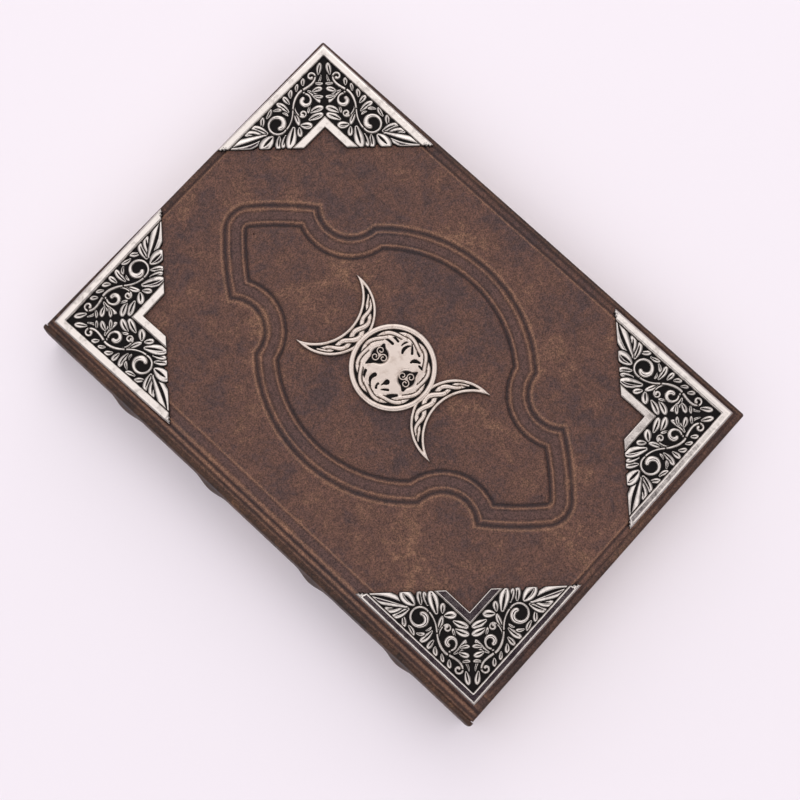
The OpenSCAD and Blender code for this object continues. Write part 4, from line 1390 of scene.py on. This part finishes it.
@dataclass
class CornerPlates:
    """Four cast corner plates of one pattern: bevelled bars, a chevron and mirrored scrollwork."""

    places: BookPlaces
    leg: float = 61.0
    bar_w: float = 3.2
    chevron_in: float = 21.2
    chevron_w: float = 3.4
    ground_t: float = 0.7
    bar_t: float = 2.0
    bevel: float = 0.45
    leaf_t: float = 1.6
    scroll_t: float = 1.85
    ground_edge: float = 59.4
    leaf_fullness: float = 1.5
    stem_fullness: float = 1.25
    leaf_moat: float = 0.12
    stem_moat: float = 0.22
    vein_floor: float = 0.2
    trench_w: float = 0.4
    pitch: float = 0.17
    small_scroll: Point = (5.9, 13.1)
    middle_scroll: Point = (10.9, 21.9)
    side_scroll: Point = (14.4, 26.6)
    big_scroll: Point = (10.35, 37.1)
    hinge_to_head_tip: float = 2.8
    hinge_to_tail_tip: float = 5.0
    fore_to_head_tip: float = 1.4
    fore_to_tail_tip: float = 3.0
    head_to_spine_tip: float = 2.1
    head_to_fore_tip: float = 1.5
    tail_to_tips: float = 4.0
    leaves: tuple[Leaf, ...] = (
        # a row of small curled leaves along the bar
        Leaf((5.9, 18.0), (4.1, 16.0), 1.5, -0.1), Leaf((5.7, 21.6), (4.1, 19.3), 1.3, -0.15),
        Leaf((5.9, 25.2), (4.0, 22.9), 1.6, -0.2), Leaf((7.2, 27.4), (3.7, 27.1), 1.7),
        Leaf((9.4, 30.1), (3.6, 30.9), 1.9, 0.35), Leaf((5.0, 33.9), (7.0, 31.6), 1.2, -0.3),
        Leaf((8.2, 32.0), (10.6, 31.4), 0.9, -0.3), Leaf((5.0, 37.9), (3.6, 34.2), 1.5, 0.3),
        Leaf((6.2, 42.0), (3.4, 39.0), 1.6, 0.2),
        # the fan below the big scroll, out to the long leaf at the leg's end
        Leaf((9.5, 42.4), (3.4, 44.9), 2.2, 0.3), Leaf((9.5, 44.6), (3.3, 48.9), 2.4, 0.5),
        Leaf((9.9, 44.0), (2.6, 57.6), 4.0, -0.7, 0.85), Leaf((12.2, 42.4), (12.5, 48.2), 3.5),
        Leaf((14.2, 40.2), (17.2, 43.9), 2.0), Leaf((15.7, 38.0), (18.2, 42.3), 1.7),
        Leaf((15.8, 33.6), (20.2, 40.6), 3.0, -0.1),
        # pairs beside the chevron
        Leaf((17.4, 31.9), (19.9, 34.0), 1.8), Leaf((17.2, 30.4), (20.0, 27.7), 2.3, 0.1),
        Leaf((17.9, 26.4), (20.0, 21.2), 2.2, -0.2), Leaf((16.1, 23.8), (18.1, 19.1), 2.1, -0.3),
        # shoots inside the tip
        Leaf((9.2, 18.3), (15.8, 18.5), 1.8, -0.75), Leaf((10.6, 17.0), (12.3, 13.7), 1.7, -0.25),
        Leaf((8.2, 9.9), (9.7, 14.2), 0.9, -0.45), Leaf((7.0, 10.3), (4.4, 6.6), 1.8),
        Leaf((10.9, 28.7), (16.4, 31.1), 1.6, -0.3),
        # small ones towards the diagonal
        Leaf((12.3, 18.0), (15.0, 15.8), 1.3, 0.2), Leaf((8.8, 13.9), (11.1, 11.9), 1.1, 0.2),
        Leaf((14.2, 22.6), (15.6, 25.0), 1.0, 0.1))

    def scrolls(self) -> list[Stroke]:
        """The long stem, rolled up at both ends, with its two side shoots."""
        top = np.array(self.small_scroll) + 1.6 * direction(330)
        fork = (7.1, 20.2)
        waist = (10.6, 28.6)
        into_big = np.array(self.big_scroll) + 3.8 * direction(-12)
        into_middle = np.array(self.middle_scroll) + 2.55 * direction(232)
        into_side = np.array(self.side_scroll) + 1.6 * direction(100)
        return [
            bow(fork, (7.3, 20.5), (8.2, 19.95), into_middle, (0.4, 0.45), 5),
            spiral(self.middle_scroll, (2.55, 2.3, 2.35, 2.1, 1.55, 1.05), 232, 300,
                   (0.42, 0.45, 0.65, 0.82, 0.88, 0.8), 24),
            bow((7.9, 25.2), (9.6, 27.2), (12, 28.5), into_side, (0.25, 0.32, 0.32)),
            spiral(self.side_scroll, (1.6, 1.25, 1.1, 0.95, 0.5), 100, -400,
                   (0.32, 0.34, 0.4, 0.48, 0.55), 18),
            spiral(self.small_scroll, (0.5, 1.2, 1.55, 1.6), 20, 310, (0.62, 0.48, 0.44, 0.44), 16),
            bow(top, (8.6, 13.9), (8.1, 16.8), fork, (0.44, 0.52, 0.54)),
            bow(fork, (6.7, 23.2), (8.4, 26.2), waist, (0.54, 0.54, 0.4)),
            bow(waist, (12.3, 30.4), (14.2, 33.4), into_big, (0.4, 0.37, 0.4)),
            spiral(self.big_scroll, (3.8, 3.75, 3.65, 3.6, 3.5, 3.2, 2.25, 1.45), -12, 385,
                   (0.4, 0.46, 0.5, 0.54, 0.68, 0.92, 1.05, 0.85), 34)]

    def bar_height(self, into: np.ndarray, width: float) -> np.ndarray:
        """Height of a bar with bevelled edges, by the distance from its outer edge."""
        rise = self.bar_t - self.bevel * (1 - smooth_step(into, 0, self.bevel * 1.3))
        return rise - 0.5 * self.bevel * smooth_step(into, width - 0.6 * self.bevel, width)

    def relief(self) -> tuple[np.ndarray, list[tuple[int, ...]], np.ndarray]:
        """The pattern with its tip at the origin and its legs along both axes.

        Returns:
            Its points, faces and mask relief.
        """
        bar_lines = [-0.06, 0.0, 0.15, 0.3, 0.45, 0.6, 1.6, 2.6, 2.9, 3.05, self.bar_w]
        even_lines = np.arange(self.bar_w + self.pitch, self.leg + self.pitch, self.pitch)
        lines = np.concatenate([bar_lines, even_lines])
        field = ReliefField(lines, lines, self.ground_t)
        u, v = field.u, field.v
        for drawn in self.leaves:
            leaf = replace(drawn, width=drawn.width * self.leaf_fullness)
            body, vein = leaf.body(), leaf.vein()
            for raised, cut in ((body, vein), (body.mirrored(), vein.mirrored())):
                field.raise_stroke(raised, self.leaf_t, self.leaf_moat)
                field.cut_stroke(cut, self.ground_t + self.vein_floor)
        carved = field.height > self.ground_t + 0.02
        for thin in self.scrolls():
            stroke = Stroke(thin.path, thin.half_widths * self.stem_fullness)
            field.raise_stroke(stroke, self.scroll_t, self.stem_moat)
            field.raise_stroke(stroke.mirrored(), self.scroll_t, self.stem_moat)
        low = np.minimum(u, v)
        inner_edge = self.chevron_in + self.chevron_w
        bars = low < self.bar_w + 1e-6
        chevron = (low >= self.chevron_in - 1e-6) & (low <= inner_edge)
        field.height[bars] = self.bar_height(low, self.bar_w)[bars]
        field.height[chevron] = self.bar_height(low - self.chevron_in, self.chevron_w)[chevron]
        trench = (low > self.bar_w) & (low < self.bar_w + self.trench_w)
        field.height[trench] = self.ground_t
        beside = (low > self.chevron_in - self.trench_w) & (low < self.chevron_in)
        field.height[beside] = np.minimum(field.height[beside], self.ground_t)
        free = u + v
        field.inside = (low >= 0) & (free <= self.leg) & (low <= inner_edge)
        field.inside &= bars | chevron | carved | (free < self.ground_edge)
        return field.surface(self.leaf_t, SKIRT)

    def seats(self) -> list[CornerSeat]:
        """The four places on the front cover, measured from the hinge line and the middle of the cover."""
        w, half = self.places.cover_w, self.places.half_height
        tail_y = self.tail_to_tips - half
        return [
            CornerSeat("corner_head_spine", False, True,
                       self.hinge_to_head_tip, half - self.head_to_spine_tip, slant=1.2),
            CornerSeat("corner_head_fore", True, True,
                       w - self.fore_to_head_tip, half - self.head_to_fore_tip, slant=-0.8),
            CornerSeat("corner_tail_fore", True, False, w - self.fore_to_tail_tip, tail_y),
            CornerSeat("corner_tail_spine", False, False, self.hinge_to_tail_tip, tail_y, slant=-0.2)]

    def build(self) -> list[Piece]:
        """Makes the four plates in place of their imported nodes.

        Returns:
            The objects.
        """
        pattern, faces, relief = self.relief()
        made = []
        for seat in self.seats():
            flip = np.array([-1 if seat.toward_fore else 1, -1 if seat.toward_head else 1, 1])
            c, s = direction(seat.slant)
            points = (pattern * flip) @ np.array([[c, s, 0], [-s, c, 0], [0, 0, 1]])
            points += (self.places.hinge_x + seat.tip_x, seat.tip_y, self.places.top_z)
            turned = [f[::-1] for f in faces] if flip[0] * flip[1] < 0 else faces
            shell = Shell()
            shell.add(points, turned, relief=relief)
            plate = shell.build(seat.node + "_plate")
            Finish.SILVER.paint(plate, "antique_silver")
            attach(plate, "front_cover")
            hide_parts(seat.node)
            made.append(plate)
        return made


@dataclass
class MoonEmblem:
    """The cast triple moon: a full moon with a tree in a woven ring, between two knotted crescents."""

    places: BookPlaces
    centre_x: float = 79.1
    centre_y: float = 0.9
    seat_rise: float = 0.4
    moon_r: float = 17.3
    moon_rim: float = 2.1
    line_w: float = 0.4
    ring_w: float = 3.4
    crescent_r: float = 17.75
    crescent_inner_r: float = 18.5
    crescent_at: float = 33.0
    crescent_inner_at: float = 41.6
    crescent_rim: float = 1.2
    ground_t: float = 1.1
    top_t: float = 2.1
    pitch: float = 0.14
    rim_round: float = 0.4
    tree_drop: float = 0.2
    tree_margin: float = 0.7
    strand_drop: float = 0.3
    over_moat: float = 0.2
    triskele_r: float = 3.25
    triskele_at: float = 7.0
    slot_fullness: float = 1.35
    ring_lobes: int = 5
    ring_strand_w: float = 0.84
    ring_margin: float = 0.8
    knot_crossings: int = 5
    knot_sway: float = 1.5
    knot_reach: float = 54.0
    knot_end_w: float = 0.42
    knot_swell: float = 0.68
    crescent_line_w: float = 0.32

    @property
    def moon_in_r(self) -> float:
        """Radius inside the full moon's rim and dark line."""
        return self.moon_r - self.moon_rim - self.line_w

    @property
    def ring_in_r(self) -> float:
        """Radius inside the woven ring."""
        return self.moon_in_r - self.ring_w

    def weave(self, field: ReliefField, strands: Callable[[np.ndarray, int], np.ndarray], crossings: int,
              widths: Callable[[np.ndarray], np.ndarray], closed: bool) -> None:
        """Two strands that pass over and under each other.

        Args:
            field: the field they are raised on.
            strands: the path of strand 0 or 1 at places from 0 to 1.
            crossings: how often they cross.
            widths: half widths at places from 0 to 1.
            closed: whether the ends meet.
        """
        places = np.linspace(0, 1, 12 * crossings + 1)
        for strand in (0, 1):
            stroke = Stroke(strands(places, strand), widths(places))
            field.raise_stroke(stroke, self.top_t - self.strand_drop)
        for number in range(crossings + (0 if closed else 1)):
            for stretch, moat in ((0.28, self.over_moat), (0.5, 0.0)):
                places = np.linspace(number - stretch, number + stretch, 13) / crossings
                if not closed:
                    places = np.clip(places, 0, 1)
                field.raise_stroke(Stroke(strands(places, number % 2), widths(places)), self.top_t, moat)

    def ring_strand(self, place: np.ndarray, strand: int) -> np.ndarray:
        """Path of a strand of the woven ring."""
        mean, sway = (self.moon_in_r + self.ring_in_r) / 2, self.ring_w / 2 - self.ring_margin
        radius = mean + sway * np.sin(math.tau * self.ring_lobes * place + math.pi * strand)
        return radius[:, None] * np.array([direction(360 * p) for p in place])

    def crescent_strand(self, place: np.ndarray, strand: int) -> np.ndarray:
        """Path of a strand of a crescent's knot."""
        t = 2 * place - 1
        mean = (self.crescent_r + self.crescent_inner_r) / 2
        centre = np.array([0, (self.crescent_at + self.crescent_inner_at) / 2])
        wave = np.sin(math.pi * (self.knot_crossings * place + strand))
        radius = mean + self.knot_sway * (1 - t * t) ** 0.7 * wave
        return centre + radius[:, None] * np.array([direction(-90 + self.knot_reach * v) for v in t])

    def moon_field(self) -> ReliefField:
        """Heights of the full moon."""
        reach = self.moon_r + self.pitch
        lines = np.arange(-reach, reach + self.pitch, self.pitch)
        field = ReliefField(lines, lines, self.ground_t)
        radius = np.hypot(field.u, field.v)
        tree = radius < self.ring_in_r + self.tree_margin
        field.height[tree] = self.top_t - self.tree_drop
        self._pockets(field)
        for slot in self._slots():
            field.cut_stroke(Stroke(slot.path, slot.half_widths * self.slot_fullness))
        self.weave(field, self.ring_strand, 2 * self.ring_lobes,
                   lambda p: np.full(len(p), self.ring_strand_w), True)
        self._triskeles(field)
        rim = radius > self.moon_r - self.moon_rim
        middle = self.moon_r - self.moon_rim / 2
        crown = np.abs(radius - middle) / (self.moon_rim / 2)
        field.height[rim] = (self.top_t - self.rim_round * crown**3)[rim]
        field.inside = radius <= self.moon_r
        return field

    def _pockets(self, field: ReliefField) -> None:
        """The two heart-shaped openings in the tree."""
        for side, tail, horn in ((1, (-5.9, 8.9), (4.1, 8.6)), (-1, (4.9, -8.4), (-4.0, -8.9))):
            middle = (0.1, side * self.triskele_at)
            beside = (0.15, side * self.triskele_at + 0.05)
            field.cut_stroke(Stroke(np.array([middle, beside]), np.full(2, 3.6)))
            field.cut_stroke(Stroke(np.array([middle, tail]), np.array([3.0, 0.25])))
            field.cut_stroke(Stroke(np.array([middle, horn]), np.array([3.0, 0.6])))

    def _slots(self) -> list[Stroke]:
        """The dark openings between the boughs on one side and the roots on the other."""
        return [
            bow((-11.4, 1.4), (-10, 3.4), (-8.8, 4.2), (-6.9, 3.3), (0.12, 0.3, 0.5, 0.62)),
            bow((-12.2, 4.2), (-11, 5.8), (-9.4, 6.6), (-8.1, 7.1), (0.3, 0.34, 0.45)),
            bow((-8.2, -1.4), (-7.4, -1.4), (-6.8, -1.9), (-5.9, -2.2), (0.12, 0.3, 0.8)),
            bow((-10.4, -0.6), (-9.8, 0), (-9.3, 0.1), (-8.6, -0.1), (0.35, 0.25, 0.32)),
            bow((-9.6, -2.6), (-9, -3), (-8.4, -3.8), (-7.9, -4.6), (0.15, 0.32, 0.36)),
            bow((-11.8, -5.4), (-10.4, -6), (-8.6, -7), (-7.2, -8.5), (0.3, 0.7, 0.4)),
            bow((6.6, 1.1), (7.8, 2), (9.6, 1.9), (10.9, 0.6), (0.3, 0.48, 0.42, 0.15)),
            bow((9.0, -1.9), (10, -1.1), (11, -0.2), (11.9, 0.8), (0.34, 0.3, 0.12)),
            bow((10.2, -4.6), (10.8, -3.6), (11.6, -2.8), (12.4, -2.1), (0.3, 0.55, 0.4)),
            bow((6.2, -3.9), (7.4, -4), (8, -5), (8.3, -6.5), (0.3, 0.6, 0.3)),
            bow((7.2, -7.3), (7.1, -8.4), (7.2, -9.4), (7.5, -10.3), (0.3, 0.4, 0.3)),
            bow((5.6, 11), (6.6, 10.4), (6.9, 8.6), (6.8, 6.4), (0.36, 0.34, 0.4)),
            bow((9.2, 8.2), (9.2, 7.2), (9.1, 6.4), (8.9, 5.4), (0.4, 0.34, 0.3)),
            bow((10.6, 7.2), (10.6, 5.6), (11.2, 4.6), (13, 3.2), (0.28, 0.26, 0.3)),
            bow((8.6, 3.3), (9.8, 3.4), (11, 2.9), (12.2, 2.0), (0.15, 0.3, 0.2)),
            bow((-8.2, 10.4), (-9.4, 9.6), (-10.6, 8.6), (-11.6, 7), (0.3, 0.36, 0.3))]

    def _triskeles(self, field: ReliefField) -> None:
        """Three joined scrolls in each opening."""
        r = self.triskele_r
        for side in (1, -1):
            for turn in (30, 150, 270):
                scroll = spiral((r * 0.56, 0), (r * 0.46, r * 0.42, r * 0.3, r * 0.12), 190, -420,
                                (0.34, 0.32, 0.3, 0.34), 18)
                place = (0.1, side * self.triskele_at + 0.1)
                field.raise_stroke(scroll.turned(turn if side > 0 else turn + 60, place), self.top_t - 0.1)

    def crescent_field(self) -> ReliefField:
        """Heights of the crescent on the head side."""
        across = np.arange(-self.crescent_r - self.pitch, self.crescent_r + 2 * self.pitch, self.pitch)
        top = self.crescent_at + 8.0
        along = np.arange(self.crescent_at - self.crescent_r - self.pitch, top, self.pitch)
        field = ReliefField(across, along, self.ground_t)
        outer = self.crescent_r - np.hypot(field.u, field.v - self.crescent_at)
        inner = np.hypot(field.u, field.v - self.crescent_inner_at) - self.crescent_inner_r
        edge = np.minimum(outer, inner)
        self.weave(field, self.crescent_strand, self.knot_crossings,
                   lambda p: self.knot_end_w + self.knot_swell * (1 - (2 * p - 1) ** 2), False)
        rim = edge < self.crescent_rim
        line = (edge >= self.crescent_rim) & (edge < self.crescent_rim + self.crescent_line_w)
        crown = np.clip(np.abs(edge - self.crescent_rim / 2) / (self.crescent_rim / 2), 0, 1)
        field.height[line] = self.ground_t
        field.height[rim] = (self.top_t - self.rim_round * crown**3)[rim]
        field.inside = (edge >= 0) & (np.hypot(field.u, field.v) > self.moon_r - 0.3)
        return field

    def build(self) -> Piece:
        """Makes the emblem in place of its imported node.

        Returns:
            The object.
        """
        shell = Shell()
        seat = (self.places.hinge_x + self.centre_x, self.centre_y, self.places.top_z + self.seat_rise)
        points, faces, relief = self.moon_field().surface(self.top_t - self.tree_drop, SKIRT)
        shell.add(points + seat, faces, relief=relief)
        points, faces, relief = self.crescent_field().surface(self.top_t - self.tree_drop, SKIRT)
        shell.add(points + seat, faces, relief=relief)
        shell.add(points * (-1, -1, 1) + seat, faces, relief=relief)
        made = shell.build("triple_moon_emblem")
        Finish.EMBLEM_SILVER.paint(made, "antique_silver")
        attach(made, "front_cover")
        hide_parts("moon_emblem")
        return made


@dataclass
class BookBlock:
    """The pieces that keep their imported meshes: pages, boards, bands, lining and endpapers."""

    finishes: dict[Finish, tuple[str, ...]] = field(default_factory=lambda: {
        Finish.PAGES: ("text_block",),
        Finish.MULL: ("spine_lining",),
        Finish.THREAD: ("head_band", "tail_band"),
        Finish.CORE: ("raised_band_1", "raised_band_2", "raised_band_3", "raised_band_4"),
        Finish.BOARD: ("front_board", "back_board"),
        Finish.ENDPAPER: ("front_pastedown", "back_pastedown")})

    def dress(self) -> None:
        """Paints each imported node."""
        for finish, nodes in self.finishes.items():
            for node in nodes:
                finish.paint(frame["nodes"][node], finish.value.name)
                LOG.info("dressed %s", node)


# Studio


@dataclass
class Studio:
    """Pale floor, soft light from the head and fore-edge side, and a camera at the photograph's angle."""

    eye: Triple = (-76.38, -57.26, 649.88)
    target: Triple = (11.39, 10.39, 31.8)
    roll: float = -47.79
    lens: float = 72.0
    shift: Point = (0.0102, -0.0825)
    floor_size: float = 6.0
    floor_colour: Colour = rgb(240, 234, 240)
    sky: Colour = (1.0, 0.975, 0.99, 1.0)
    near_wall: Colour = (0.2, 0.19, 0.2, 1.0)
    far_wall: Colour = (0.5, 0.48, 0.5, 1.0)
    far_toward: Triple = (0.35, 0.9, 0.0)
    shade: Colour = (0.03, 0.02, 0.03, 1.0)
    shade_toward: Triple = (-0.05, -0.14, 1.0)
    shade_size: float = 14.5
    ceiling_toward: Triple = (-0.14, -0.14, 1.0)
    ceiling_size: float = 46.0
    sky_strength: float = 1.6
    key_place: Triple = (1.1, 1.0, 1.3)
    key_size: float = 1.2
    key_energy: float = 4.5
    key_colour: Triple = (1.0, 0.985, 0.975)

    def build(self) -> None:
        """Sets the stage."""
        self._floor()
        self._key()
        self._sky()
        self._camera()

    def _floor(self) -> None:
        """A plain pale surface under the book."""
        bpy.ops.mesh.primitive_plane_add(size=self.floor_size, location=(0, 0, 0))
        floor = bpy.context.object
        floor.name = "studio_floor"
        material, graph, shader = start_material("studio_floor")
        graph.connect(shader, {
            "Base Color": self.floor_colour,
            "Roughness": 0.9,
            "Specular IOR Level": 0.1})
        floor.data.materials.append(material)

    def _key(self) -> None:
        """A square soft light that faces the book."""
        data = bpy.data.lights.new("key_light", "AREA")
        data.size, data.energy, data.color = self.key_size, self.key_energy, self.key_colour
        lamp = bpy.data.objects.new("key_light", data)
        bpy.context.scene.collection.objects.link(lamp)
        lamp.location = self.key_place
        lamp.rotation_euler = (-Vector(self.key_place)).to_track_quat("-Z", "Y").to_euler()

    def _sky(self) -> None:
        """A bright ceiling with a dark patch in it, over walls that are lighter on the far side."""
        world = bpy.data.worlds.new("studio_sky")
        world.use_nodes = True
        graph = Graph(world.node_tree)
        toward = graph.node("ShaderNodeTexCoord").outputs["Generated"]

        def facing(way: Triple) -> Socket:
            """How far a direction of the sky lies towards a given way."""
            inputs = {0: toward, 1: Vector(way).normalized()}
            product = graph.node("ShaderNodeVectorMath", operation="DOT_PRODUCT", inputs=inputs)
            return product.outputs["Value"]

        tone = graph.mix(graph.remap(facing(self.far_toward), -0.5, 0.6), self.near_wall, self.far_wall)
        for way, size, soft, colour in ((self.ceiling_toward, self.ceiling_size, 0.25, self.sky),
                                        (self.shade_toward, self.shade_size, 0.2, self.shade)):
            edge = [math.cos(math.radians(size * k)) for k in (1 + soft, 1 - soft)]
            tone = graph.mix(graph.remap(facing(way), *edge), tone, colour)
        back = world.node_tree.nodes["Background"]
        world.node_tree.links.new(tone, back.inputs["Color"])
        back.inputs["Strength"].default_value = self.sky_strength
        bpy.context.scene.world = world

    def _camera(self) -> None:
        """The camera, with the photograph's perspective."""
        data = bpy.data.cameras.new("photo_camera")
        data.lens = self.lens
        data.shift_x, data.shift_y = self.shift
        camera = bpy.data.objects.new("photo_camera", data)
        bpy.context.scene.collection.objects.link(camera)
        eye, target = Vector(self.eye) * MM, Vector(self.target) * MM
        forward = (target - eye).normalized()
        right = forward.cross(Vector((0, 1, 0))).normalized()
        up = right.cross(forward)
        level = Matrix((right, up, -forward)).transposed()
        turn = Matrix.Rotation(math.radians(self.roll), 3, "Z")
        camera.matrix_world = Matrix.Translation(eye) @ (level @ turn).to_4x4()
        bpy.context.scene.camera = camera


def main() -> None:
    logging.basicConfig(level=logging.INFO, format="%(message)s")
    places = BookPlaces.from_frame()
    covers = [CoverLeather(places).build(), CoverLeather(places, front=False).build()]
    pieces = covers + [SpineLeather(places).build(), MoonEmblem(places).build()]
    for piece in pieces + CornerPlates(places).build() + JointFolds(places).build():
        LOG.info("built %s: %d faces", piece.name, len(piece.data.polygons))
    BookBlock().dress()
    Studio().build()
    bpy.context.scene.view_settings.view_transform = "Standard"


if __name__ == "__main__":
    main()
